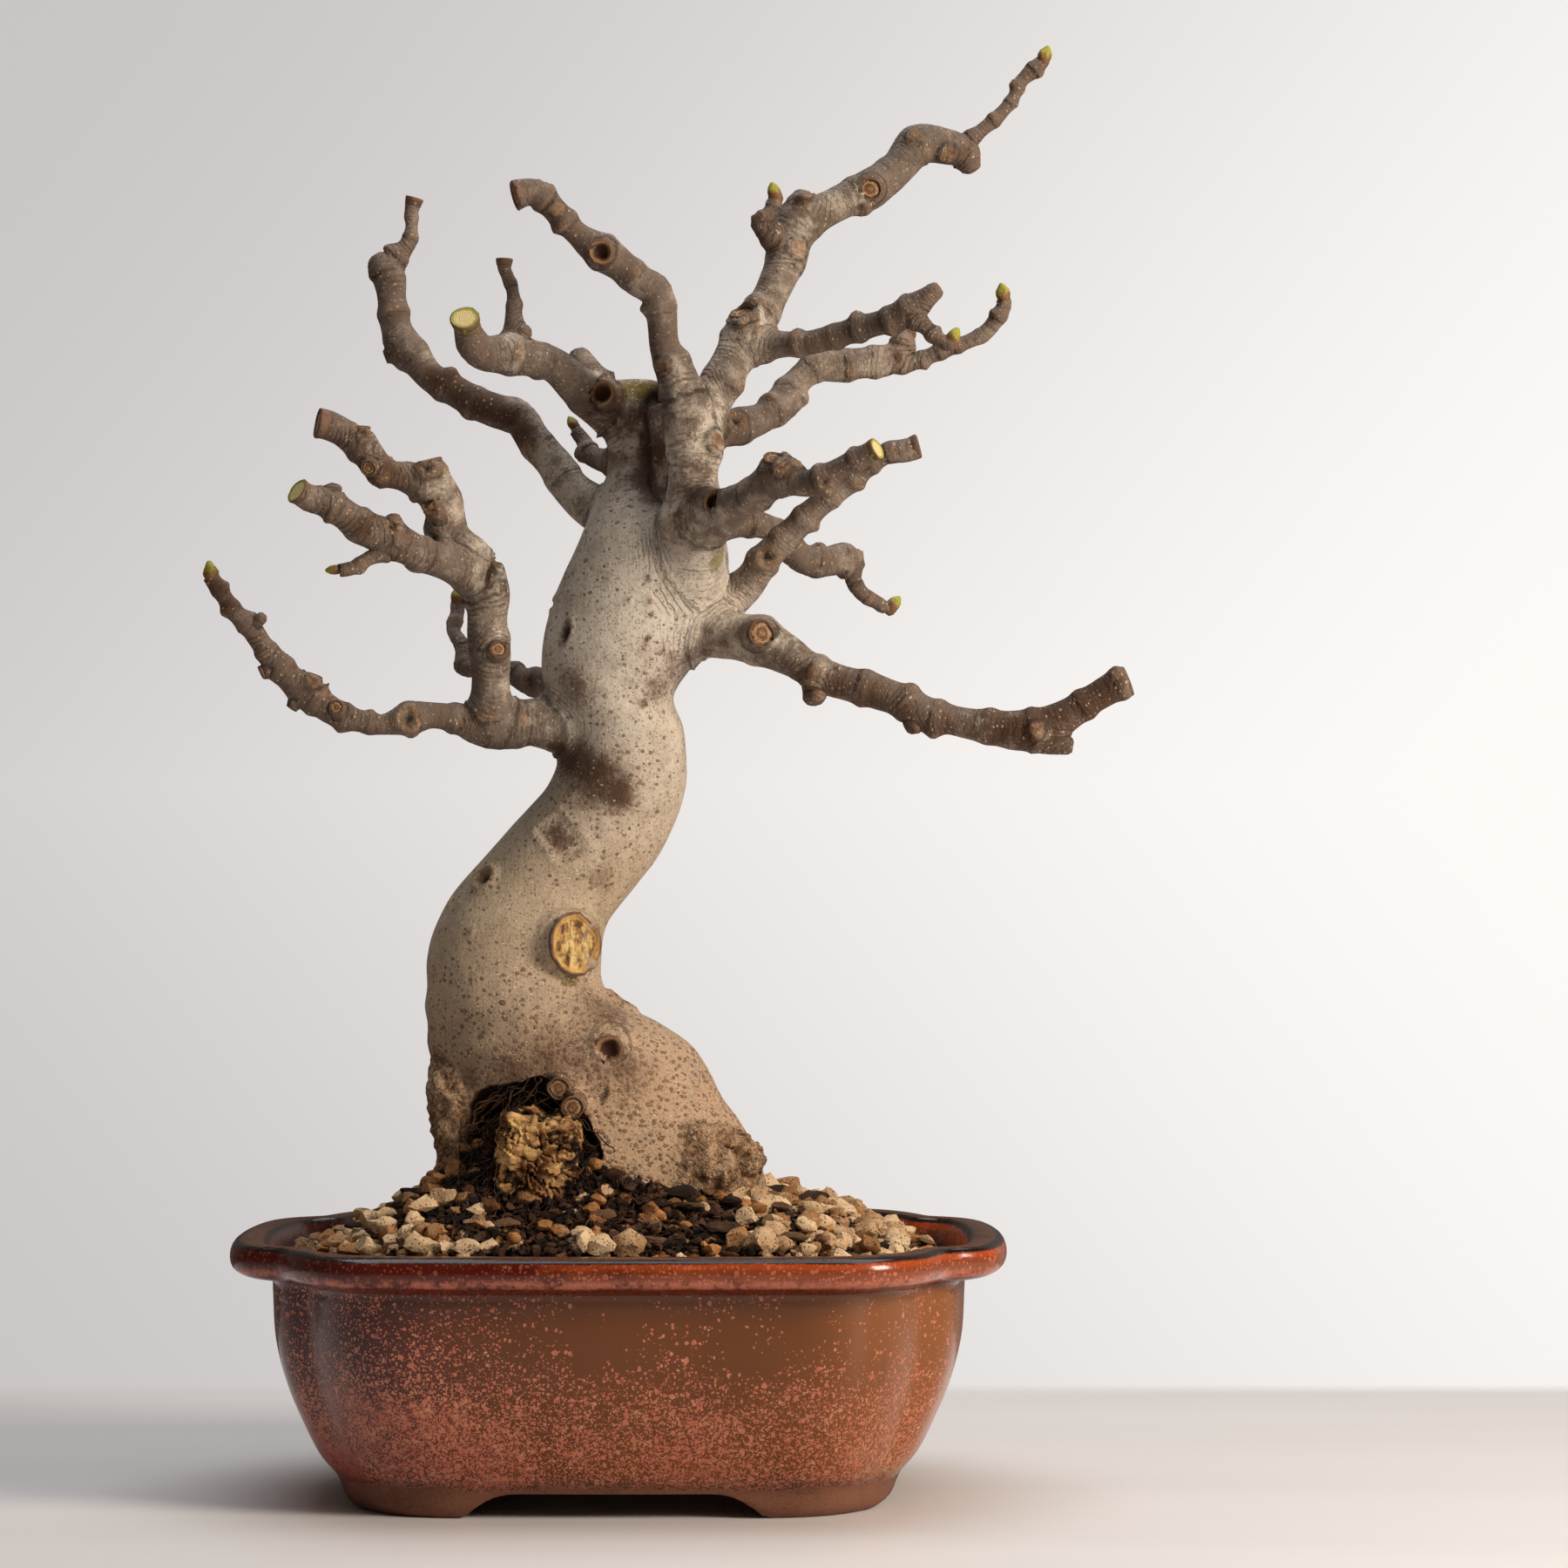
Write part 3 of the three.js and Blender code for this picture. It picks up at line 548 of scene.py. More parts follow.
TRUNK_TABLE = (
    # height, left edge, right edge, middle from front to back, half depth
    (80, -36, 28, 0, 24), (91, -51, 43, 0, 34), (99, -56, 47, 0, 39), (107, -56, 45, 0, 40),
    (117, -58, 40, 0, 39), (127, -60, 33, 0, 37), (137, -61, 28, 0, 35), (145, -63, 22, -1, 33),
    (151, -63, 13, -1, 31), (157, -64, 2, -1, 30), (163, -63, -5, -1, 29), (173, -63, -6, 0, 28),
    (184, -60, -4, 0, 27), (195, -54, 4, 1, 25), (206, -44, 12, 1, 24), (217, -34, 18, 1, 23),
    (228, -24, 21, 0, 22), (238, -20, 21, -1, 21), (248, -20, 20, -2, 21), (257, -24, 17, -2, 22),
    (265, -26, 21, -2, 22), (275, -25, 26, -3, 23), (286, -22, 30, -3, 23), (297, -18, 33, -3, 22),
    (308, -13, 33, -3, 21), (318, -9, 25, -1, 17), (326, -6, 16, 2, 12), (335, -4, 13, 4, 9),
    (345, -6, 14, 5, 10), (354, -6, 15, 5, 10), (361, -4, 14, 5, 9),
)

RUNS = {
    "leader": Run(End.HIDDEN, (
        (17, -4, 290, 15), (22, -16, 303, 12), (24, -24, 313, 10), (24, -25, 324, 8), (24, -25, 338, 8),
        (21, -26, 351, 7.2))),
    "high_centre": Run(End.OLD, (
        (23, -25, 342, 7.6), (21, -26, 351, 7), (18, -27, 361, 6.2), (15, -28, 369, 5), (14, -30, 379, 4.9),
        (12, -31, 386, 5), (7, -32, 389, 5), (1, -34, 394, 5), (-5, -36, 398, 5.2), (-12, -38, 403, 4),
        (-17, -40, 408, 4), (-22, -42, 413, 4), (-27, -43, 416, 4.2), (-32, -44, 415, 4.8))),
    "high_right": Run(End.ROUND, (
        (24, -24, 340, 7.6), (29, -20, 350, 6.8), (34, -18, 360, 6.7), (38, -15, 368, 6.3), (42, -13, 374, 7),
        (47, -10, 383, 5.7), (51, -8, 392, 5.7), (54, -5, 399, 6), (56, -2, 408, 7.6), (63, 1, 413, 5.8),
        (71, 4, 418, 5.7), (81, 8, 423, 6), (90, 12, 430, 5.8), (97, 15, 438, 6.3), (106, 18, 438, 5.7),
        (112, 20, 436, 4.4), (114, 20, 432, 3.8))),
    "high_right_twig": Run(End.BUD, (
        (109, 20, 437, 2.8), (117, 21, 443, 2.3), (123, 22, 448, 2.3), (128, 23, 454, 2), (131, 24, 460, 2.2),
        (135, 25, 464, 2.6), (138, 25, 467, 2.3), (139, 25, 470, 2), (140, 25, 472, 0.9)), fine=True),
    "high_right_spur": Run(End.BUD, (
        (53, -5, 402, 4.4), (50, -8, 405, 4), (45, -9, 410, 2.7), (48, -10, 413, 2.3), (50, -10, 418, 2),
        (49, -10, 420, 2.3), (49, -10, 423, 0.9)), fine=True),
    "high_right_lump": Run(End.ROUND, ((57, -1, 411, 5), (58, -1, 416, 4), (59, -1, 420, 2.6))),
    "right_flat": Run(End.ROUND, (
        (40, -13, 371, 6), (46, -16, 370, 5.4), (53, -20, 370, 4.4), (61, -25, 370, 3.9), (70, -29, 372, 3.9),
        (78, -33, 374, 3.9), (86, -37, 376, 3.9), (93, -40, 379, 4.5), (97, -42, 382, 3.6),
        (101, -43, 385, 2.8))),
    "right_flat_twig": Run(End.BUD, (
        (92, -41, 378, 3), (97, -43, 374, 2.3), (101, -44, 370, 2.4), (105, -45, 368, 2.4),
        (107, -45, 370, 1.9), (108, -45, 373, 0.9)), fine=True),
    "right_upper": Run(End.OLD, (
        (24, -20, 338, 6.5), (31, -12, 342, 5.4), (39, -3, 345, 5.8), (46, 4, 348, 4.9), (53, 10, 354, 5.7),
        (57, 13, 360, 4.7), (63, 15, 365, 4.8), (70, 18, 366, 5.1), (77, 20, 367, 5.1), (84, 22, 368, 4.9),
        (90, 24, 370, 4.3), (92, 25, 374, 3.8), (93, 26, 378, 3.4))),
    "right_upper_twig": Run(End.BUD, (
        (87, 22, 367, 3), (94, 22, 367, 2.3), (102, 21, 370, 2.6), (107, 20, 372, 2.6), (113, 19, 374, 2.3),
        (119, 18, 377, 2.6), (123, 17, 382, 2.6), (125, 16, 386, 2.5), (124, 15, 390, 2.2),
        (124, 15, 393, 0.9)), fine=True),
    "front_right": Run(End.FRESH, (
        (24, -24, 314, 9.5), (33, -37, 314, 7), (39, -44, 318, 5.6), (45, -50, 321, 5.5), (50, -54, 325, 5.1),
        (54, -57, 325, 5.5), (60, -60, 323, 4.2), (65, -63, 324, 4.6), (70, -66, 327, 3.6),
        (76, -69, 330, 3.5), (82, -72, 333, 3.4))),
    "middle_right": Run(End.OLD, (
        (25, 2, 281, 9), (34, 0, 288, 7), (42, -3, 295, 5.6), (47, -6, 302, 4.9), (53, -8, 308, 4.5),
        (60, -11, 315, 4.2), (67, -14, 321, 3.9), (74, -16, 326, 3.6), (81, -18, 332, 3.4),
        (86, -19, 335, 3.4), (92, -20, 336, 3.9), (96, -20, 337, 3.8))),
    "back_right": Run(End.BUD, (
        (22, 8, 308, 9), (31, 18, 313, 5.4), (38, 24, 315, 4.8), (47, 30, 314, 4.1), (52, 34, 311, 4),
        (59, 40, 304, 4.9), (66, 45, 303, 4.9), (72, 49, 304, 4.9), (76, 52, 303, 3.9), (76, 54, 298, 2.8),
        (79, 56, 293, 2.6), (84, 58, 290, 2.4), (88, 60, 288, 2.3), (91, 61, 290, 1.9), (92, 61, 292, 0.9))),
    "low_right": Run(End.FRESH, (
        (14, -3, 282, 15), (21, -5, 280, 12.5), (28, -7, 279, 9.8), (36, -12, 277, 7.8), (44, -17, 275, 7.4),
        (53, -21, 271, 6.5), (61, -24, 266, 5.3), (70, -26, 262, 5.3), (81, -28, 259, 5.6),
        (92, -30, 255, 5.1), (97, -31, 252, 5.5), (108, -33, 249, 4.8), (119, -35, 247, 5.4),
        (128, -36, 246, 6), (136, -37, 248, 5.3), (143, -38, 251, 5), (151, -39, 256, 4.7),
        (157, -40, 259.6, 4.9), (162, -40, 261.6, 4.7))),
    "low_right_stub": Run(End.ROUND, ((130, -36, 245, 4.2), (137, -37, 242, 3.4), (143, -37, 241, 2.8))),
    "low_left": Run(End.BUD, (
        (-10, -2, 251, 13), (-20, -6, 248, 9.2), (-28, -8, 249, 7.8), (-37, -11, 248, 7),
        (-45, -14, 248, 5.8), (-53, -17, 250, 4.3), (-60, -19, 251, 4.2), (-67, -21, 250, 5.3),
        (-75, -23, 248, 3.5), (-82, -24, 249, 3.4), (-89, -25, 251, 3.6), (-94, -26, 254, 4.2),
        (-100, -27, 258, 4.2), (-105, -28, 263, 4.1), (-109, -29, 268, 3.6), (-113, -30, 273, 3.3),
        (-117, -31, 279, 3), (-122, -32, 284, 2.8), (-126, -33, 290, 2.5), (-128.6, -34, 294, 2.6),
        (-129.8, -34, 297, 2.4), (-129.8, -34, 300, 0.9))),
    "low_left_stub": Run(End.OLD, ((-99, -27, 258, 3.4), (-97, -28, 263.5, 3))),
    "left_upright": Run(End.HIDDEN, (
        (-40, -12, 249, 8), (-41, -15, 254, 6.9), (-41, -20, 268, 6.1), (-42, -22, 279, 6.3),
        (-42, -23, 288, 6.2), (-44, -25, 297, 7))),
    "left_inner": Run(End.HOLLOW, (
        (-43, -24, 292, 6.6), (-48, -28, 301, 7.2), (-54, -31, 309, 6.1), (-55, -34, 318, 6),
        (-59, -36, 324, 6), (-61, -37, 331, 5.3))),
    "left_inner_tip": Run(End.OLD, (
        (-58, -36, 323, 5.4), (-67, -39, 326, 4.4), (-74, -41, 328, 4.2), (-79, -42, 334, 4.7),
        (-85, -43, 339, 4.2), (-90, -44, 342, 4.7), (-94, -45, 343, 4.7))),
    "left_outer": Run(End.FRESH, (
        (-43, -24, 295, 6.8), (-53, -36, 299, 6), (-60, -42, 301, 5.5), (-66, -47, 304, 5.2),
        (-73, -50, 307, 4.9), (-80, -53, 310, 5.3), (-85, -56, 314, 4.3), (-90, -58, 317, 4.1),
        (-95, -59.5, 318, 4), (-99, -62.5, 320.5, 3.9))),
    "left_outer_nub": Run(End.ROUND, ((-69, -49, 306, 3.4), (-70, -51, 312, 2.5)), fine=True),
    "left_outer_twig": Run(End.BUD, (
        (-68, -48, 304, 3), (-77, -51, 300, 2.1), (-82, -53, 297, 2.2), (-87, -54, 296, 2),
        (-91, -54, 296, 0.6)), fine=True),
    "back_left": Run(End.BUD, (
        (-8, 8, 261, 9), (-20, 16, 262, 5.6), (-32, 23, 263, 4.2), (-37, 27, 266, 3.4), (-47, 33, 267, 2.9),
        (-53, 38, 268, 2.7), (-54, 42, 275, 2.4), (-57, 45, 280, 2.4), (-56, 48, 286, 2.4),
        (-56, 50, 292, 2.4), (-56, 50, 295, 0.9))),
    "high_left": Run(End.ROUND, (
        (2, 6, 315, 10), (-10, 13, 320, 7.2), (-17, 17, 326, 6.3), (-23, 20, 335, 5.8), (-29, 22, 342, 5.7),
        (-34, 24, 349, 5.7), (-42, 26, 352, 5.5), (-49, 28, 355, 5.2), (-56, 30, 359, 5.2),
        (-64, 32, 364, 4.9), (-69, 34, 370, 5.3), (-74, 36, 376, 5.7), (-76, 38, 382, 5.2),
        (-77, 39, 390, 4.9), (-78, 40, 397, 5.2), (-81, 41, 402, 4.4))),
    "high_left_twig": Run(End.OLD, (
        (-79, 41, 400, 4), (-76, 42, 404, 3.6), (-72, 43, 409, 2.7), (-71, 44, 414, 2.1), (-71, 45, 420, 2.3),
        (-70, 45, 424, 3.1)), fine=True),
    "stump_left": Run(End.FRESH, (
        (4, 5, 348, 8), (-5, 2, 351, 7.4), (-14, -4, 358, 6.7), (-21, -9, 364, 5.7), (-28, -13, 366, 5.6),
        (-34, -16, 367, 6.1), (-39, -19, 367, 6), (-44, -22, 367, 5.2), (-47, -25, 371, 4.9),
        (-48, -27.5, 374.5, 4.4), (-48.5, -31, 377.5, 4.6))),
    "stump_left_twig": Run(End.OLD, (
        (-33, -15, 368, 4), (-34, -14, 377, 3.1), (-34, -13, 385, 2.2), (-35, -12, 390, 2),
        (-37, -12, 395, 2.2), (-37, -12, 398, 2.6)), fine=True),
    "stump_back_lump": Run(End.ROUND, ((-5, 6, 355, 5), (-10, 10, 362, 5), (-14, 14, 368, 4.2))),
    "stump_back_twig": Run(End.BUD, (
        (2, 8, 333, 5), (-10, 20, 337, 3.4), (-13, 24, 342, 2.6), (-16, 25, 346, 2.1), (-18, 26, 350, 0.7)),
        fine=True),
    "trunk_wound": Run(End.WOUND, ((-23, -13, 178, 10), (-18.5, -19, 178, 10), (-13.6, -25.4, 178, 9.2))),
    "trunk_knot": Run(End.HOLLOW, ((-4, -20, 146, 6.5), (-3, -29, 145, 5.6), (-2.6, -32.6, 144.5, 4.6))),
    "crotch_web": Run(End.HIDDEN, (
        (17, -9, 308, 9), (18, -9, 324, 7.6), (17, -8, 338, 6.6), (14, -5, 351, 5.4))),
    "low_left_nub_front": Run(End.OLD, ((-89, -26, 251.5, 2.6), (-89.5, -31.5, 253.5, 2.2)), fine=True),
    "low_left_nub_tip": Run(End.ROUND, ((-116, -31, 279, 2.2), (-113, -33, 282, 1.7)), fine=True),
    "low_left_nub_side": Run(End.OLD, ((-108, -29, 267, 2.8), (-113.5, -30, 264.3, 2.2)), fine=True),
    "low_left_nub_under": Run(End.OLD, ((-101, -27, 258, 2.8), (-104, -28, 253.2, 2)), fine=True),
    "upright_nub": Run(End.OLD, ((-40, -22, 271, 4), (-38, -29, 272, 2.7)), fine=True),
    "inner_twig_stub": Run(
        End.OLD, ((-54, -33, 311, 3), (-57, -39, 315, 2.3), (-59.5, -42, 318, 2.1)), fine=True),
    "inner_nub_top": Run(End.OLD, ((-81, -43, 335, 3.2), (-80.5, -44, 341.8, 2.6)), fine=True),
    "inner_nub_front": Run(End.OLD, ((-77, -42, 330, 3), (-78, -48, 328.5, 2.5)), fine=True),
    "outer_nub_top": Run(End.ROUND, ((-87, -57, 315, 3), (-89.5, -57, 321, 2.6)), fine=True),
    "high_left_nub": Run(End.OLD, ((-72, 35, 373, 3), (-79, 35, 370.5, 2.3)), fine=True),
    "stump_left_nub": Run(End.ROUND, ((-32, -15, 370, 2.6), (-30.5, -17, 374.6, 2.4)), fine=True),
    "high_right_cut": Run(End.OLD, ((42, -13, 373, 5.4), (40, -17, 380.5, 4.2))),
    "front_right_nub": Run(End.OLD, ((49, -53, 324, 4.2), (50, -58, 331, 3.3))),
    "low_right_lump": Run(End.ROUND, ((62, -24, 262, 3.4), (62.5, -26, 256, 2.7)), fine=True),
    "low_right_lump_far": Run(End.ROUND, ((94, -31, 252, 3.4), (94.5, -32, 247, 2.7)), fine=True),
    "elbow_scar": Run(End.HOLLOW, ((28, -28, 317, 5), (31, -42, 318, 3.6))),
    "low_right_scar": Run(End.OLD, ((44, -17, 276, 6), (46, -27, 277, 4.4))),
    "stump_scar": Run(End.HOLLOW, ((-3, 2, 354, 5.6), (-6, -8, 355, 4.4))),
    "high_centre_scar": Run(End.HOLLOW, ((-5, -36, 398, 4.6), (-5, -42, 397, 3.9))),
    "high_right_scar": Run(End.OLD, ((81, 8, 423, 5), (81, 1, 422, 3.9))),
    "bark_flap": Run(End.ROUND, (
        (-55, -10, 143, 3.5), (-55.5, -15, 134, 5.4), (-53.5, -19, 125, 6.6), (-53.5, -21, 116, 5.4),
        (-51.5, -19, 107, 6.6), (-50.5, -16, 96, 6))),
    "upper_knob": Run(End.OLD, ((-18, -28, 134, 5), (-18.5, -37, 132.5, 3.6))),
    "lower_knob": Run(End.OLD, ((-15, -22, 130, 5), (-14, -40, 126.5, 3.6))),
    "nodule_inner": Run(End.ROUND, (
        (16, -18, 105, 8), (22, -24, 106, 9), (28, -27, 107.5, 8.4), (33, -29, 107, 6))),
    "nodule_outer": Run(End.ROUND, (
        (28, -12, 106, 9), (37, -16, 108, 8.4), (42, -18, 107, 6.6), (44.6, -18.5, 106, 4.2))),
    "nodule_curl": Run(End.ROUND, (
        (20, -24, 113, 3.2), (26, -28, 116.5, 3.2), (33, -28, 118, 3), (39, -26, 116, 3),
        (42, -24, 112, 2.8))),
}


@dataclass
class Centreline:
    """Close samples along one run: middle, radius, direction across and the length so far, in metres."""

    middles: np.ndarray
    radii: np.ndarray
    tangents: np.ndarray
    sides: np.ndarray
    lengths: np.ndarray

    @classmethod
    def through(cls, run: Run, step_mm: float) -> "Centreline":
        """Runs a smooth curve through a run's points.

        Args:
            run: The run.
            step_mm: Distance between the samples.

        Returns:
            The samples.
        """
        known = np.array([[*place(*point[:3]), point[3] * MM] for point in run.points])
        samples = spline(known, step_mm * MM)
        middles = samples[:, :3]
        tangents = np.gradient(middles, axis=0)
        tangents /= np.linalg.norm(tangents, axis=1, keepdims=True)
        sides = cls.carried(tangents)
        gaps = np.linalg.norm(np.diff(middles, axis=0), axis=1)
        return cls(middles, samples[:, 3], tangents, sides, np.concatenate([[0.0], np.cumsum(gaps)]))

    def rounded(self) -> "Centreline":
        """The same centreline drawn on into a rounded end."""
        steps = np.array([0.3, 0.52, 0.66])
        radius, tangent = self.radii[-1], self.tangents[-1]
        return Centreline(
            np.vstack([self.middles, self.middles[-1] + np.outer(steps * radius, tangent)]),
            np.concatenate([self.radii, radius * np.array([0.88, 0.62, 0.25])]),
            np.vstack([self.tangents, np.tile(tangent, (3, 1))]),
            np.vstack([self.sides, np.tile(self.sides[-1], (3, 1))]),
            np.concatenate([self.lengths, self.lengths[-1] + steps * radius]),
        )

    def shortened(self, length: float) -> "Centreline":
        """The same centreline without its last stretch."""
        kept = self.lengths < self.lengths[-1] - length
        return Centreline(*(getattr(self, item.name)[kept] for item in fields(self)))

    @staticmethod
    def carried(tangents: np.ndarray) -> np.ndarray:
        """Directions across the curve that don't twist round it."""
        side = Vector(tangents[0]).orthogonal().normalized()
        sides = [side.copy()]
        for before, after in zip(tangents, tangents[1:]):
            side.rotate(Vector(before).rotation_difference(Vector(after)))
            sides.append(side.copy())
        return np.array(sides)


def loft(rings: Sequence[np.ndarray]) -> bmesh.types.BMesh:
    """A closed skin drawn out from ring to ring.

    Args:
        rings: Rows of points for each ring, all of one length.

    Returns:
        The skin, with flat ends.
    """
    bm = bmesh.new()
    bmesh.ops.create_circle(bm, cap_ends=True, segments=len(rings[0]), radius=1.0)
    face = bm.faces[:][0]
    for number, ring in enumerate(rings):
        if number:
            grown = bmesh.ops.extrude_face_region(bm, geom=[face])
            if number > 1 and face.is_valid:
                bmesh.ops.delete(bm, geom=[face], context="FACES_ONLY")
            face = next(item for item in grown["geom"] if isinstance(item, bmesh.types.BMFace))
        for corner, point in zip(face.verts, ring):
            corner.co = point
    bmesh.ops.recalc_face_normals(bm, faces=bm.faces)
    return bm


def turned(middle: np.ndarray, axis: np.ndarray, side: np.ndarray, profile: Sequence[tuple[float, float]],
           corners: int, waver: Callable[[float, float], float]) -> bmesh.types.BMesh:
    """A closed form turned round an axis, with a wavering radius.

    Args:
        middle: Where the profile's heights start.
        axis: The axis.
        side: A direction across it.
        profile: Radii and heights in metres.
        corners: Corners of each ring.
        waver: Factor on the radius, from the angle and the height.

    Returns:
        The form.
    """
    over = np.cross(axis, side)
    angles = np.linspace(0, math.tau, corners, endpoint=False)
    rings = []
    for radius, height in profile:
        reach = np.array([radius * waver(angle, height) for angle in angles])[:, None]
        rings.append(middle + axis * height
                     + reach * (np.cos(angles)[:, None] * side + np.sin(angles)[:, None] * over))
    return loft(rings)


def tube(line: Centreline, corners: int) -> bmesh.types.BMesh:
    """A closed round tube along a centreline.

    Args:
        line: The centreline.
        corners: Corners of each ring.

    Returns:
        The tube.
    """
    turns = np.linspace(0, 2 * math.pi, corners, endpoint=False)[:, None]
    rings = []
    for middle, radius, tangent, side in zip(line.middles, line.radii, line.tangents, line.sides):
        over = np.cross(tangent, side)
        rings.append(middle + radius * (np.cos(turns) * side + np.sin(turns) * over))
    return loft(rings)


class MarkKind(Enum):
    """What a mark on the bark does to it."""

    KNOT = "a healed ring round a dark hollow"
    SCAR = "a leaf scar: low, tan, with a raised edge"
    PATCH = "a square old graft patch with a rough middle and a raised edge"
    SLIT = "a narrow upright slit"
    WART = "a small bump"
    # SHADE paints a smooth dark film. In part it is painted shade: under the elbow, at the leader's base
    # under the stump and under the inner left limb. Elsewhere it is a dark film on the limbs.
    SHADE = "a smooth dark film"
    STAIN = "a brown stain"
    MOSS = "a film of moss"


@dataclass(frozen=True)
class Mark:
    """One mark, by where it shows in the photograph's picture, with its half size in millimetres."""

    kind: MarkKind
    px: float
    py: float
    half: float
    turn: float = 0.0


CORKY_RUNS = ("bark_flap", "nodule_inner", "nodule_outer", "nodule_curl")
TRUNK_SCARS = ("trunk_wound", "trunk_knot", "upper_knob", "lower_knob", *CORKY_RUNS)
SCAR_RUNS = (
    "trunk_wound", "trunk_knot", "elbow_scar", "low_right_scar", "stump_scar", "high_centre_scar",
    "high_right_scar", "upper_knob", "lower_knob", "crotch_web",
)

# Pixels from the left and the top, half size in millimetres, degrees round the pot.
MARKS = {
    MarkKind.KNOT: (
        (862, 372, 3.6), (845, 482, 4.2), (947, 555, 2.8), (880, 640, 4.2), (468, 825, 4.6),
        (360, 780, 3), (573, 745, 2.8), (425, 537, 2.4), (415, 495, 3), (450, 605, 3), (495, 585, 3.4),
        (490, 537, 3.6), (690, 410, 3), (620, 905, 5, 180), (720, 1080, 8, 165), (700, 1150, 6, 100),
        (760, 1010, 5, 270),
    ),
    MarkKind.SCAR: (
        (822, 507, 4), (897, 538, 3), (1088, 177, 3.4), (916, 285, 3.6), (640, 240, 2.6), (760, 420, 3),
        (1050, 155, 3), (915, 532, 2.8), (1190, 838, 3),
    ),
    MarkKind.PATCH: (
        (643, 962, 9.5), (760, 700, 8, 190),
    ),
    MarkKind.SLIT: (
        (650, 727, 4.5), (742, 735, 2.2), (695, 1255, 3.4), (562, 660, 4.6), (700, 950, 5, 200),
    ),
    MarkKind.WART: (
        (745, 663, 1.8), (745, 690, 1.8), (738, 808, 2.2), (748, 705, 1.2), (720, 690, 1.2),
        (645, 1062, 1.2), (540, 1070, 1.5), (920, 232, 4), (1030, 410, 3), (935, 797, 2), (388, 812, 2),
        (527, 775, 2), (450, 405, 2), (578, 367, 3), (360, 783, 2), (1050, 838, 2), (960, 768, 1.6),
        (720, 760, 2.4, 170),
    ),
    # The first six SHADE rows, under the elbow, are painted shade with stain. Those at the leader's base
    # under the stump and under the inner left limb are painted shade. The rest are a dark film on the limbs.
    MarkKind.SHADE: (
        (646, 866, 6), (658, 874, 7.5), (671, 882, 8.5), (684, 890, 9), (697, 899, 8.5), (708, 909, 7),
        (512, 428, 7), (535, 447, 7), (558, 462, 7), (580, 480, 7), (598, 503, 7), (448, 543, 5),
        (420, 602, 4), (250, 675, 4), (262, 698, 4), (742, 545, 7), (752, 520, 6), (940, 352, 4),
        (985, 345, 4), (800, 565, 6), (1150, 834, 7), (1175, 832, 9), (1198, 824, 10), (1220, 812, 10),
        (1243, 802, 10), (1264, 790, 9),
    ),
    MarkKind.STAIN: (
        (925, 775, 7), (960, 790, 7), (1000, 805, 7), (1040, 825, 6), (1080, 835, 6), (1120, 840, 6),
        (655, 790, 9), (780, 765, 11), (755, 790, 9), (690, 1160, 13), (640, 1215, 15), (590, 1235, 10),
        (535, 1240, 6), (720, 1230, 11), (790, 560, 9), (742, 540, 12), (690, 470, 11), (735, 480, 12),
        (690, 1010, 5), (650, 1200, 16, 180), (750, 1210, 16, 170), (720, 860, 14, 180),
        (800, 1220, 14, 90), (700, 1230, 14, 270),
    ),
    MarkKind.MOSS: (
        (826, 640, 6), (655, 1122, 4), (735, 440, 8),
    ),
}


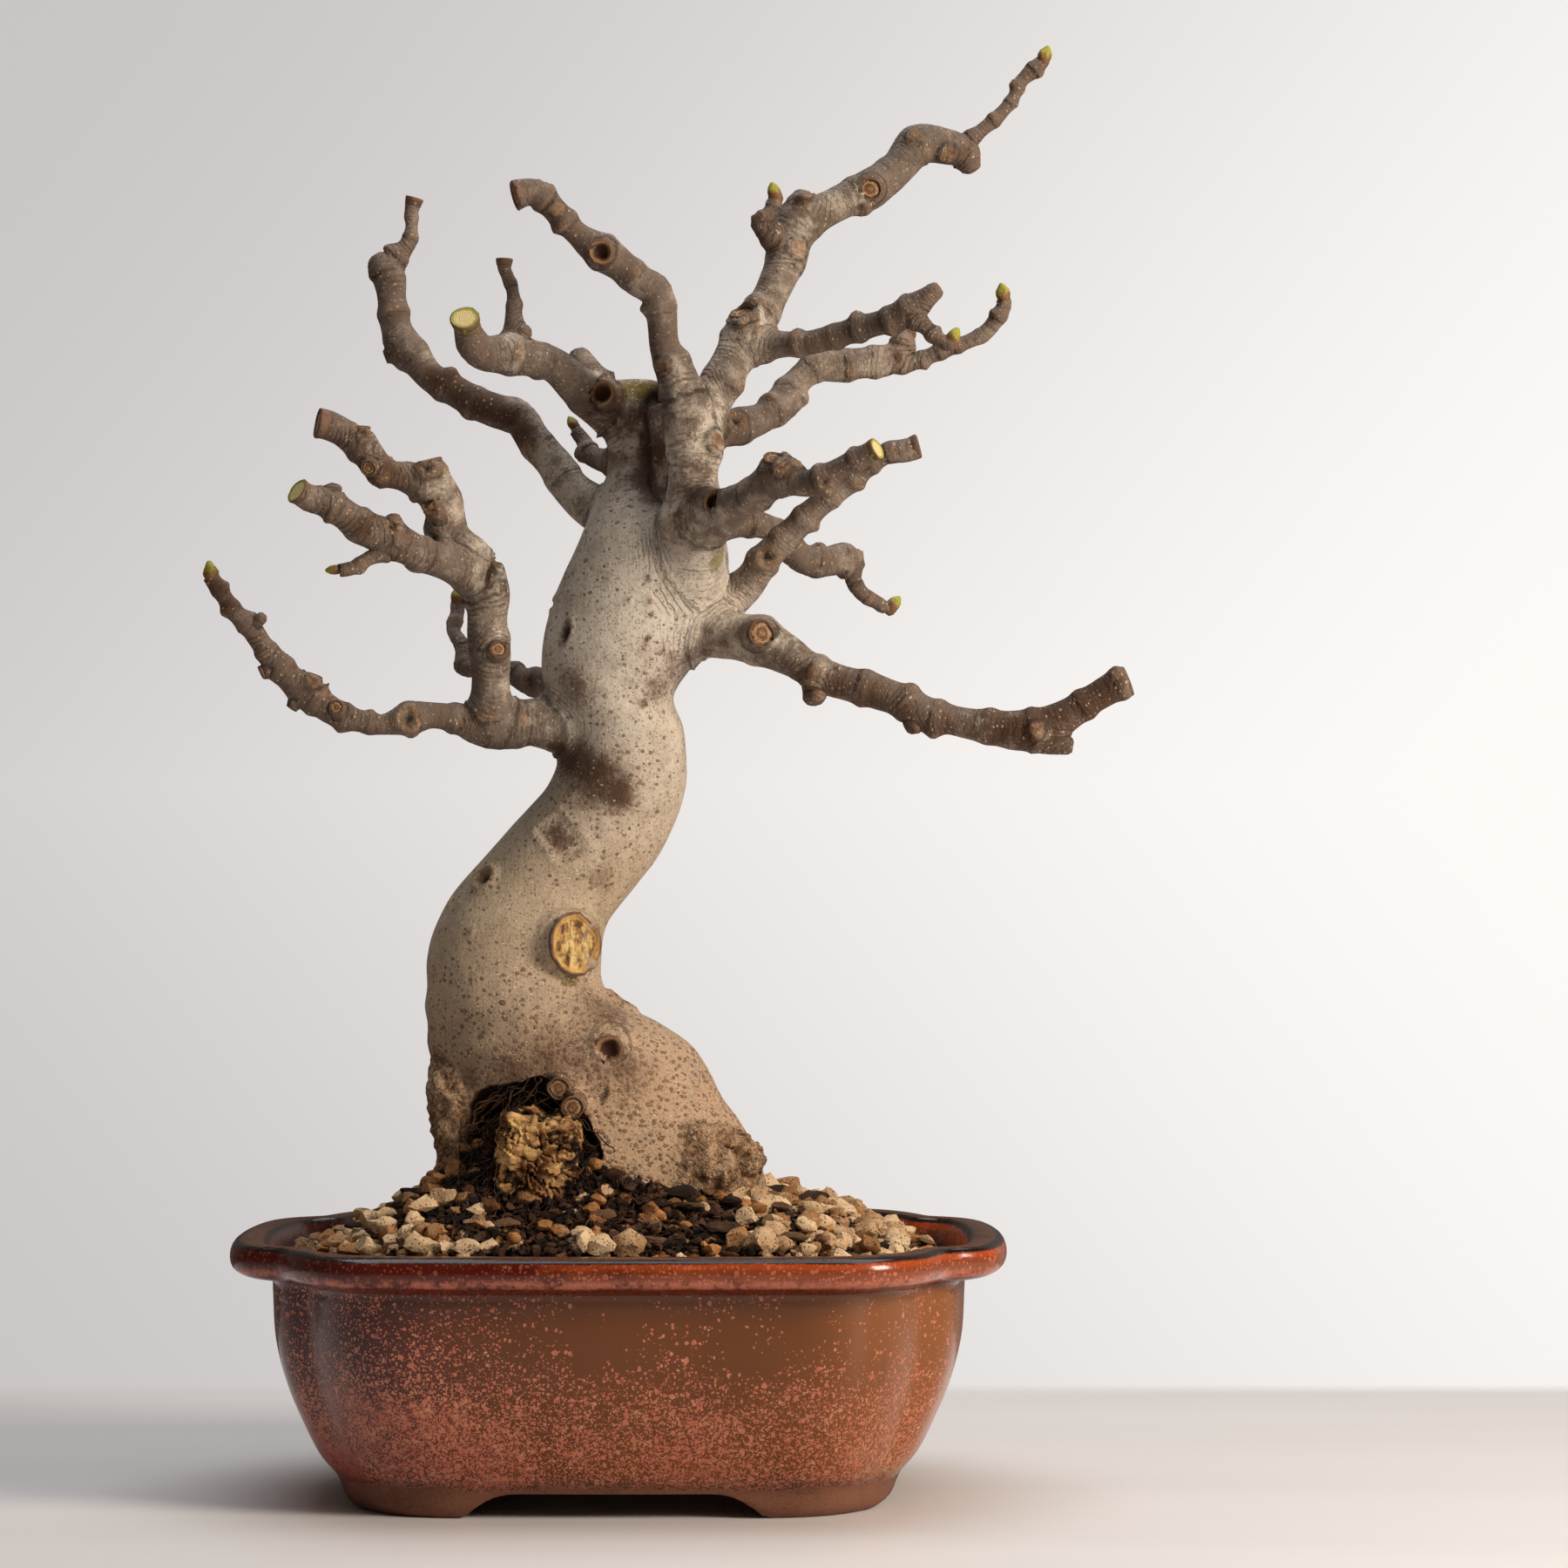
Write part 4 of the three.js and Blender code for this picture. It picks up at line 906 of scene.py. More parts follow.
@dataclass
class Tree:
    """The living tree: trunk, limbs and twigs as one skin, with its cut ends and buds."""

    coarse_voxel: float = 1.26
    fine_voxel: float = 0.9
    sample_step: float = 2.2
    trunk_rings: int = 130
    trunk_corners: int = 96
    limb_corners: int = 14
    cut_corners: int = 26
    bud_corners: int = 18
    chunk: int = 4096
    smooth_rounds: int = 3
    junction_rounds: int = 10
    fillet: float = 0.006
    hollow_middle: tuple[float, float, float] = (-31.5, -48, 108)
    hollow_half: tuple[float, float, float] = (24.5, 39, 28)
    root_wood_middle: tuple[float, float, float] = (-24.5, -36, 111.5)
    root_wood_half: tuple[float, float, float] = (12.5, 15, 13)
    root_wood_lean: float = 8
    fibre_count: int = 420
    seed: int = 4059
    bud_length: float = 4.4
    bud_end: float = 0.9
    lines: dict[str, Centreline] = field(default_factory=dict)
    tips: dict[str, tuple[np.ndarray, np.ndarray, np.ndarray]] = field(default_factory=dict)

    def __post_init__(self) -> None:
        """Runs the centrelines and lays out the trunk's outline."""
        for name, run in RUNS.items():
            line = Centreline.through(run, self.sample_step)
            if run.end is End.ROUND:
                line = line.rounded()
            if run.end is End.BUD:
                self.tips[name] = (line.middles[-1], line.tangents[-3], line.sides[-1])
                line = line.shortened(self.bud_length * MM * run.points[-1][3] / self.bud_end)
            self.lines[name] = line
        table = np.array(TRUNK_TABLE, dtype=float)
        heights = np.linspace(table[0, 0], table[-1, 0], self.trunk_rings)
        smooth = np.array([self.table_at(table, height) for height in heights])
        self.trunk_heights = POT_MIDDLE.z + heights * MM
        left, right, middle, half = smooth.T
        self.trunk_rows = (POT_MIDDLE.x + (left + right) / 2 * MM, POT_MIDDLE.y + middle * MM,
                           (right - left) / 2 * MM, half * MM)

    @staticmethod
    def table_at(table: np.ndarray, height: float) -> np.ndarray:
        """The trunk's edges, middle and half depth at a height, by a smooth curve through the table.

        Args:
            table: The trunk's table.
            height: Millimetres above the ground.

        Returns:
            Left, right, middle and half depth in millimetres.
        """
        row = int(np.clip(np.searchsorted(table[:, 0], height) - 1, 0, len(table) - 2))
        share = (height - table[row, 0]) / (table[row + 1, 0] - table[row, 0])
        a, b = table[row, 1:], table[row + 1, 1:]
        gap = table[row + 1, 0] - table[row, 0]
        slopes = []
        for i in (row, row + 1):
            low, high = max(i - 1, 0), min(i + 1, len(table) - 1)
            slopes.append((table[high, 1:] - table[low, 1:]) / (table[high, 0] - table[low, 0]) * gap)
        s2, s3 = share ** 2, share ** 3
        return ((2 * s3 - 3 * s2 + 1) * a + (s3 - 2 * s2 + share) * slopes[0]
                + (3 * s2 - 2 * s3) * b + (s3 - s2) * slopes[1])

    def trunk_shell(self) -> bmesh.types.BMesh:
        """The trunk as a closed shell."""
        turns = np.linspace(0, 2 * math.pi, self.trunk_corners, endpoint=False)
        rings = []
        for z, middle_x, middle_y, half_x, half_y in zip(self.trunk_heights, *self.trunk_rows):
            x, y = middle_x + half_x * np.cos(turns), middle_y + half_y * np.sin(turns)
            rings.append(np.column_stack([x, y, np.full_like(x, z)]))
        return loft(rings)

    def fused(self, fine: bool) -> bpy.types.Mesh:
        """Fuses the coarse or the fine runs into one skin.

        Args:
            fine: Whether the thin twigs are wanted, rather than the trunk and limbs.

        Returns:
            The skin.
        """
        parts = [tube(self.lines[name], self.limb_corners) for name, run in RUNS.items() if run.fine == fine]
        whole = merged(parts) if fine else self.hollowed(merged([self.trunk_shell(), *parts]))
        voxel = self.fine_voxel if fine else self.coarse_voxel
        return worked(to_mesh(whole, "shells"), "REMESH", mode="VOXEL", voxel_size=voxel * MM)

    def covers(self, x: float, y: float) -> bool:
        """Whether the trunk stands on the soil at a place.

        Args:
            x: Millimetres to the right of the pot's middle.
            y: Millimetres to the back.

        Returns:
            Whether it does.
        """
        left, right, middle, half = self.table_at(np.array(TRUNK_TABLE, dtype=float), 99)
        u = (x - (left + right) / 2) / ((right - left) / 2)
        v = (y - middle) / half
        in_front = abs(x - self.hollow_middle[0]) < 25 and y < -22
        return u * u + v * v < 0.94 and not in_front

    def hollowed(self, whole: bmesh.types.BMesh) -> bmesh.types.BMesh:
        """Presses the hollow into the front of the trunk's foot.

        Args:
            whole: The shells.

        Returns:
            The same shells.
        """
        middle = place(*self.hollow_middle)
        half = Vector(self.hollow_half) * MM
        for vert in whole.verts:
            off = vert.co - middle
            ragged = 0.3 * noise.noise(vert.co / (13 * MM)) + 0.16 * noise.noise(vert.co / (4 * MM))
            inside = abs(off.x / half.x) ** 4 + (off.z / half.z) ** 2 + ragged
            inside = max(inside, 0.0)
            if inside < 1.0:
                floor = middle.y + half.y * math.sqrt(1.0 - inside)
                if vert.co.y < floor and vert.co.y > middle.y - 2 * half.y:
                    vert.co.y = floor
        return whole

    def cut_faces(self) -> bpy.types.Mesh:
        """The ends of cut limbs: a rim of bark round bare wood.

        Returns:
            Their mesh, with the share of the radius and the kind of cut.
        """
        parts: list[bmesh.types.BMesh] = []
        shares: list[float] = []
        kinds: list[float] = []
        corners = self.cut_corners
        for number, (name, run) in enumerate(RUNS.items()):
            if run.end not in END_PROFILES:
                continue
            line = self.lines[name]
            profile = END_PROFILES[run.end]
            radius = line.radii[-1]
            shift = number * 7.3

            def waver(angle: float, height: float) -> float:
                """Makes the cut slightly out of round."""
                spot = Vector((math.cos(angle) * 0.9 + shift, math.sin(angle) * 0.9, 0.5))
                fine = Vector((math.cos(angle) * 3.5 + shift, math.sin(angle) * 3.5, height * 900))
                return 1.02 + 0.16 * noise.noise(spot) + 0.07 * noise.noise(fine)

            metres = [(share * radius, height * MM * min(1.0, radius / 0.004)) for share, height in profile]
            middle, axis, side = line.middles[-1], line.tangents[-1], line.sides[-1]
            parts.append(turned(middle, axis, side, metres, corners, waver))
            shares += [share for share, _ in profile for _ in range(corners)]
            kinds += [CUT_KINDS[run.end]] * (corners * len(profile))
        mesh = to_mesh(merged(parts), "cut_faces")
        set_attribute(mesh, "share", np.array(shares))
        set_attribute(mesh, "kind", np.array(kinds))
        return mesh

    def buds(self) -> bpy.types.Mesh:
        """The pointed buds at the twigs' tips, with the edges of their scales.

        Returns:
            Their mesh, with the height along each bud.
        """
        parts: list[bmesh.types.BMesh] = []
        heights: list[float] = []
        corners = self.bud_corners
        for number, (name, run) in enumerate(RUNS.items()):
            if run.end is not End.BUD:
                continue
            middle, axis, side = self.tips[name]
            profile = spline(np.array(BUD_PROFILE), 0.5) * MM * (run.points[-1][3] / self.bud_end)

            def waver(angle: float, height: float) -> float:
                """Winds the scales' edges round the bud."""
                return 1.0 + 0.1 * math.sin(2 * angle + height * 1300 + number) ** 3

            side = side - axis * float(side @ axis)
            side = side / np.linalg.norm(side)
            parts.append(turned(middle, axis, side, profile.tolist(), corners, waver))
            deep = -profile[0, 1]
            heights += [1 + height / deep for height in profile[:, 1] for _ in range(corners)]
        mesh = to_mesh(merged(parts), "buds")
        set_attribute(mesh, "height", np.array(heights))
        return mesh

    def root_wood(self) -> bpy.types.Mesh:
        """The bare layered wood of an old root in the hollow, cracked and flaking.

        Returns:
            Its mesh, with how deep each point lies.
        """
        bm = bmesh.new()
        middle = place(*self.root_wood_middle)
        where = Matrix.Translation(middle) @ Matrix.Diagonal((*(Vector(self.root_wood_half) * MM), 1.0))
        bmesh.ops.create_icosphere(bm, subdivisions=6, radius=1.0, matrix=where)
        depths = []
        for vert in bm.verts:
            spoke = vert.co - middle
            share = [part / (half * MM) for part, half in zip(spoke, self.root_wood_half)]
            spoke *= sum(part ** 6 for part in share) ** (-1 / 6)
            vert.co = middle + spoke
            point = vert.co / MM
            warp = noise.noise(point / 9.0) * 3.2 + noise.noise(point / 3.0) * 1.2
            layer = (point.z + point.x * 0.3 + warp * 0.95) / 4.4
            step = layer - math.floor(layer)
            shelf = noise.noise(Vector((math.floor(layer) * 5.1, point.x / 5.0, point.y / 9.0)))
            flakes = noise.noise(Vector((point.x / 5.0 + warp * 0.25, point.y / 7.0, point.z / 6.5))) * 2.3
            plate = flakes - math.floor(flakes)
            edge = 1.0 - float(smoothstep(0.0, 0.16, step))
            lift = float(smoothstep(0.0, 0.85, plate))
            out = shelf * 2.8 + lift * 1.3 + noise.noise(point / 1.3) * 0.45 - 1.1 * edge
            vert.co += spoke.normalized() * out * MM
            # Depth, which the root wood's finish paints darker as shade in the cracks and under the flakes.
            depths.append(edge * 0.55 - shelf * 0.9 + (1.0 - lift) * 0.35)
        lean = Matrix.Rotation(math.radians(self.root_wood_lean), 3, "Y")
        bmesh.ops.rotate(bm, cent=middle, matrix=lean, verts=bm.verts)
        mesh = to_mesh(bm, "root_wood")
        mesh.set_sharp_from_angle(angle=math.radians(38))
        set_attribute(mesh, "deep", np.array(depths))
        return mesh

    def root_fibres(self, bed: "Bed") -> bpy.types.Mesh:
        """Thin feeder roots that hang in the hollow and lie on the soil in front of it.

        Args:
            bed: The soil's bed.

        Returns:
            Their mesh.
        """
        draw = random.Random(self.seed + 1)
        parts: list[bmesh.types.BMesh] = []
        for _ in range(self.fibre_count):
            hanging = draw.random() < 0.4
            x = -46 + 42 * draw.random() if hanging else -62 + 84 * draw.random()
            y = -28 - 8 * draw.random() if hanging else -36 - 34 * draw.random() ** 1.6
            z = bed.height(x, y) + 22 * draw.random() * (1 - abs(x + 25) / 40) if hanging else 0.0
            heading = draw.random() * math.tau if not hanging else -math.pi / 2 + (draw.random() - 0.5) * 2.4
            lift = 1.6 + 3.0 * draw.random()
            points = []
            for _ in range(7 + int(9 * draw.random())):
                ground = bed.height(x, y) + lift
                points.append((x, y, max(z, ground)))
                pace = 1.5 + 1.9 * draw.random()
                heading += (draw.random() - 0.5) * 2.3
                x = max(x + math.cos(heading) * pace, -50.0)
                y += math.sin(heading) * pace * (0.7 if hanging else 1.0)
                z -= pace * draw.random() * 1.1
            thick = 0.14 + 0.3 * draw.random() ** 3
            fading = [thick * (1.0 - 0.5 * i / len(points)) for i in range(len(points))]
            run = Run(End.HIDDEN, tuple((*point, radius) for point, radius in zip(points, fading)))
            parts.append(tube(Centreline.through(run, 1.2), 4))
        return to_mesh(merged(parts), "root_fibres")

    def read(self, points: np.ndarray) -> "Reading":
        """Finds the wood that each point of a skin belongs to.

        Args:
            points: Rows of points.

        Returns:
            What is known of each point.
        """
        lines = list(self.lines.values())
        counts = [len(line.middles) for line in lines]
        starts = np.concatenate([[0], np.cumsum(counts)[:-1]])
        middles, radii, tangents, sides, lengths = (
            np.concatenate([getattr(line, item.name) for line in lines]) for item in fields(Centreline)
        )
        slopes = np.concatenate([np.gradient(line.radii, line.lengths) for line in lines])
        owners = np.repeat(np.arange(len(lines)), counts)
        last = np.zeros(len(middles), dtype=bool)
        last[starts + np.array(counts) - 1] = True
        best, next_run = np.empty((2, len(points)), dtype=int)
        first, second = np.empty((2, len(points)))
        for low in range(0, len(points), self.chunk):
            some = slice(low, low + self.chunk)
            part = points[some]
            square = (part ** 2).sum(1)[:, None] + (middles ** 2).sum(1)[None] - 2 * part @ middles.T
            gaps = np.sqrt(np.maximum(square, 0.0)) - radii
            best[some] = gaps.argmin(1)
            by_run = np.minimum.reduceat(gaps, starts, axis=1)
            order = np.argpartition(by_run, 1, axis=1)[:, :2]
            nearest = np.take_along_axis(by_run, order, axis=1)
            first[some], second[some] = nearest.min(1), nearest.max(1)
            next_run[some] = np.take_along_axis(order, nearest.argmax(1)[:, None], axis=1)[:, 0]
        middle_x, middle_y, half_x, half_y = (
            np.interp(points[:, 2], self.trunk_heights, row) for row in self.trunk_rows
        )
        u, v = (points[:, 0] - middle_x) / half_x, (points[:, 1] - middle_y) / half_y
        round_share = np.sqrt(u ** 2 + v ** 2) + 1e-9
        trunk_gap = (round_share - 1) * round_share / np.sqrt((u / half_x) ** 2 + (v / half_y) ** 2 + 1e-12)
        trunk_gap = np.maximum(trunk_gap, points[:, 2] - self.trunk_heights[-1])
        is_trunk = trunk_gap < first
        along = np.einsum("ij,ij->i", points - middles[best], tangents[best])
        aside = np.linalg.norm(points - middles[best] - along[:, None] * tangents[best], axis=1)
        faced = (along > 0.0002) | ((aside < 0.86 * radii[best]) & (along > -0.0016))
        capped = last[best] & ~is_trunk & faced
        along = np.clip(along, -0.003, 0.003)
        foot = middles[best] + along[:, None] * tangents[best]
        spoke = points - foot
        spoke /= np.linalg.norm(spoke, axis=1, keepdims=True) + 1e-9
        over = np.cross(tangents[best], sides[best])
        turn = np.arctan2((spoke * over).sum(1), (spoke * sides[best]).sum(1))
        radius = radii[best] + slopes[best] * along
        on_limb = foot + spoke * radius[:, None]
        on_trunk = np.column_stack([
            middle_x + (points[:, 0] - middle_x) / round_share,
            middle_y + (points[:, 1] - middle_y) / round_share, points[:, 2],
        ])
        carved = is_trunk & ((trunk_gap < -0.0018) | (points[:, 2] > self.trunk_heights[-1] - 0.002))
        return Reading(
            owner=np.where(is_trunk, -1, owners[best]),
            gap=np.where(is_trunk, first - trunk_gap, np.minimum(second, trunk_gap) - first),
            length=lengths[best] + along, turn=turn, radius=np.where(is_trunk, 0.03, radius),
            target=np.where(is_trunk[:, None], on_trunk, on_limb), loose=capped | carved,
            limb_radius=radii[best], capped=capped, groove=np.zeros(len(points)), plate=np.zeros(len(points)),
            neighbour=np.where(is_trunk, owners[best], np.where(trunk_gap < second, -1, next_run)),
        )

    def relief(self, points: np.ndarray, reading: "Reading") -> np.ndarray:
        """How far each point stands out from the smooth wood, in metres.

        Args:
            points: Rows of points.
            reading: What is known of them.

        Returns:
            One height for each point.
        """
        height = noise_at(points, 16.0, 3.1) * 0.075 * reading.radius
        trunk = reading.owner < 0
        low = points[trunk]
        foot = fade(0.105, 0.150, low[:, 2])
        height[trunk] = noise_at(low, 46.0, 7.7) * 0.0011
        height[trunk] += noise_at(low, 15.0, 2.2) * (0.00025 + 0.0006 * foot)
        draw = random.Random(self.seed)
        for number, (name, line) in enumerate(self.lines.items()):
            if name in SCAR_RUNS or name in CORKY_RUNS:
                continue
            mine = np.flatnonzero(reading.owner == number)
            length, turn, radius = reading.length[mine], reading.turn[mine], reading.radius[mine]
            added, groove, plate = np.zeros((3, len(mine)))
            node, node_turn = 0.004 + 0.004 * draw.random(), draw.random() * math.tau
            while node < line.lengths[-1] - 0.002:
                near = float(np.interp(node, line.lengths, line.radii))
                young = float(fade(0.0028, 0.0075, near))
                swell = near * (0.085 + 0.16 * young) * (0.5 + 0.9 * draw.random())
                width = 0.001 + 0.24 * near
                ring = bell(length, node, width)
                facing = np.clip(np.cos(turn - node_turn), 0, 1)
                added += swell * (ring * 0.75 + facing ** 2 * bell(length, node + 0.0004, width) * 1.15)
                groove = np.maximum(groove, bell(length, node - 0.9 * width, 0.0011))
                plate = np.maximum(plate, facing ** 5 * ring)
                node += near * (1.2 + 1.7 * draw.random()) + 0.0026
                node_turn += 2.4 + 0.5 * draw.random()
            reading.groove[mine], reading.plate[mine] = groove, plate
            tip = smoothstep(0.0, 0.004, line.lengths[-1] - length + 0.002)
            height[mine] += added * tip * (radius > 0.0012)
        cork = np.isin(reading.owner, self.numbers(CORKY_RUNS))
        crag = points[cork]
        cracks = np.abs(noise_at(crag, 5.0, 9.4, 2))
        height[cork] += noise_at(crag, 11.0, 4.4, 3) * 0.0026 - cracks * 0.0024 + 0.0004
        height[reading.capped] = 0.0
        return height

    def numbers(self, names: Sequence[str]) -> list[int]:
        """The places of some runs in the list of all runs."""
        order = list(self.lines)
        return [order.index(name) for name in names]

    def dressed(self, mesh: bpy.types.Mesh) -> bpy.types.Mesh:
        """Shapes a fused skin and writes what the bark's finish reads from it.

        Args:
            mesh: The skin.

        Returns:
            The same skin.
        """
        reading = self.read(rows_of(mesh))
        near = smoothstep(0.0, 0.004, reading.gap)
        bm = bmesh.new()
        bm.from_mesh(mesh)
        bm.verts.ensure_lookup_table()
        joint = [bm.verts[i] for i in np.flatnonzero((near < 0.95) | reading.loose)]
        for verts in [bm.verts] * self.smooth_rounds + [joint] * self.junction_rounds:
            bmesh.ops.smooth_vert(bm, verts=verts, factor=0.5, use_axis_x=True, use_axis_y=True,
                                  use_axis_z=True)
        bm.to_mesh(mesh)
        bm.free()
        held = np.where(reading.loose, 0.0, near)[:, None]
        shaped = rows_of(mesh) * (1 - held) + reading.target * held
        for number, (name, line) in enumerate(self.lines.items()):
            capped = reading.capped & (reading.owner == number)
            shaped[capped] -= line.tangents[-1] * END_DEPTH.get(RUNS[name].end, 0.0) * MM
        set_points(mesh, shaped)
        fillet = np.clip(1 - reading.gap / self.fillet, 0, 1) ** 2 * self.fillet / 4
        fillet[reading.loose] = 0.0
        height = self.relief(shaped, reading) + np.minimum(fillet, 0.35 * reading.limb_radius)
        shaped = shaped + rows_of(mesh, "normal") * height[:, None]
        set_points(mesh, shaped)
        self.write_marks(mesh, shaped, rows_of(mesh, "normal"), reading)
        return mesh

    @staticmethod
    def effect(kind: MarkKind, share: np.ndarray, off: np.ndarray) -> dict[str, np.ndarray]:
        """What a mark does to the skin round it.

        Args:
            kind: The kind of mark.
            share: How far each point is from its middle, in half sizes.
            off: The way there, in half sizes.

        Returns:
            The height in half sizes, and the shares of bare wood, moss, stains with painted shade, and pit.
        """
        diamond = np.abs(off[:, 0]) + np.abs(off[:, 2] + 0.25 * off[:, 0])
        edge = bell(diamond, 1.0, 0.14)
        lens = np.hypot(off[:, 0] * 3.0 - off[:, 2] * 0.8, off[:, 2])
        return {
            MarkKind.KNOT: {
                "height": 0.26 * bell(share, 0.8, 0.28) - 0.36 * bell(share, 0.0, 0.45),
                "wood": 0.9 * bell(share, 0.62, 0.3), "pit": fade(0.2, 0.5, share)},
            MarkKind.SCAR: {
                "height": 0.2 * bell(share, 0.9, 0.22) + 0.1 * (share < 0.9),
                "wood": fade(0.6, 1.0, share), "pit": 0.9 * bell(share, 1.12, 0.16)},
            MarkKind.PATCH: {
                "height": 0.06 * edge - 0.05 * (diamond < 0.9), "moss": 0.55 * edge,
                "stain": 0.65 * fade(0.45, 0.8, diamond)},
            MarkKind.SLIT: {
                "height": 0.14 * bell(lens, 1.0, 0.3) - 0.3 * bell(lens, 0.0, 0.5),
                "pit": fade(0.4, 0.8, lens), "stain": 0.6 * fade(0.8, 1.8, lens)},
            MarkKind.WART: {"height": 0.7 * bell(share, 0.0, 0.7), "stain": 0.75 * fade(0.3, 1.2, share)},
            # SHADE: a smooth dark film, in part painted shade.
            MarkKind.SHADE: {"stain": fade(0.0, 1.9, share)},
            MarkKind.STAIN: {"stain": 0.6 * fade(0.1, 1.7, share)},
            MarkKind.MOSS: {"moss": fade(0.5, 1.2, share)},
        }[kind]

    def write_marks(self, mesh: bpy.types.Mesh, points: np.ndarray, normals: np.ndarray,
                    reading: "Reading") -> None:
        """Presses the marks into the skin, and writes the attributes of the bark.

        Args:
            mesh: The skin.
            points: Its points.
            normals: Its normals.
            reading: What is known of the points.
        """
        bm = bmesh.new()
        bm.from_mesh(mesh)
        surface = BVHTree.FromBMesh(bm)
        bm.free()
        # The stain layer holds real stains and also painted shade: from SHADE marks, from the crevice at the
        # top of the trunk and from the hollow at its foot.
        layers = {name: np.zeros(len(points)) for name in ("height", "wood", "moss", "stain", "pit")}
        for mark in (Mark(kind, *row) for kind, rows in MARKS.items() for row in rows):
            hit, facing, _, _ = surface.ray_cast(*EYE.ray(mark.px, mark.py, mark.turn))
            if hit is None:
                continue
            off = (points - np.array(hit)) / (mark.half * MM)
            share = np.linalg.norm(off, axis=1)
            near = (share < 2.5) & (normals @ np.array(facing) > -0.1)
            for name, values in self.effect(mark.kind, share[near], off[near]).items():
                if name == "height":
                    layers[name][near] += values * mark.half * MM
                else:
                    layers[name][near] = np.maximum(layers[name][near], values)
        height, wood, moss, stain, pit = layers.values()
        rough = np.zeros(len(points))
        wood = np.maximum(wood, 0.62 * smoothstep(0.35, 0.75, reading.plate))
        cork = self.numbers(CORKY_RUNS)
        rough[np.isin(reading.owner, cork)] = 1.0
        wood[np.isin(reading.owner, self.numbers(("upper_knob", "lower_knob")))] = 1.0
        scars = self.numbers(SCAR_RUNS + CORKY_RUNS)
        collar = np.clip(reading.gap / 0.012, 0, 1)
        collar[np.isin(reading.owner, scars) | np.isin(reading.neighbour, scars)] = 1.0
        trunk = reading.owner < 0
        # Painted shade: the crevice where the leader and the web meet the trunk is coloured near black, with
        # a darker film painted round it.
        parts = [-1, *self.numbers(("leader", "crotch_web"))]
        split = np.isin(reading.owner, parts) & np.isin(reading.neighbour, parts)
        split &= (points[:, 2] > 0.308) & (points[:, 0] < POT_MIDDLE.x + 0.019)
        crevice = np.where(split, fade(0.0004, 0.003, reading.gap), 0.0)
        crevice *= smoothstep(0.310, 0.330, points[:, 2])
        pit = np.maximum(pit, crevice * 0.95)
        height -= crevice * 0.0014
        soot = np.where(split, 0.9 * fade(0.002, 0.009, reading.gap), 0.0)
        stain = np.maximum(stain, soot * smoothstep(0.308, 0.328, points[:, 2]))
        set_points(mesh, points + normals * height[:, None])
        rough[trunk] = fade(0.094, 0.104, points[trunk, 2]) * 0.8
        beside = np.isin(reading.neighbour, cork) & trunk
        rough[beside] = np.maximum(rough[beside], fade(0.0, 0.005, reading.gap[beside]))
        # Painted shade: the inside of the hollow at the trunk's foot is coloured near black.
        hollow = reading.loose & trunk & (points[:, 2] < 0.16)
        stain[hollow] = 1.0
        pit[hollow] = 0.85
        top = reading.loose & (points[:, 2] > 0.33) & (normals[:, 2] > 0.5) & trunk
        moss[top] = 0.6
        age = fade(0.0026, 0.0125, reading.limb_radius)
        age[trunk] *= fade(0.0, 0.012, reading.gap[trunk])
        healed = self.numbers(TRUNK_SCARS)
        plain = np.isin(reading.owner, healed) | (trunk & np.isin(reading.neighbour, healed))
        age[plain] = 0.0
        limb = np.column_stack([
            reading.limb_radius * np.cos(reading.turn), reading.limb_radius * np.sin(reading.turn),
            reading.length + reading.owner * 0.37,
        ])
        attributes = {
            "grain": np.where(trunk[:, None], points, limb), "age": age, "collar": collar, "pit": pit,
            "marks": np.column_stack([wood, moss, stain]), "rough": rough,
            "groove": reading.groove * fade(0.0, 0.5, reading.loose),
            "limb": np.where(trunk | plain, 0.0, 1.0),
        }
        for name, values in attributes.items():
            set_attribute(mesh, name, values)


@dataclass
class Reading:
    """What is known of each point of a skin: whose it is, and where on it."""

    owner: np.ndarray
    gap: np.ndarray
    length: np.ndarray
    turn: np.ndarray
    radius: np.ndarray
    target: np.ndarray
    loose: np.ndarray
    limb_radius: np.ndarray
    capped: np.ndarray
    neighbour: np.ndarray
    groove: np.ndarray
    plate: np.ndarray


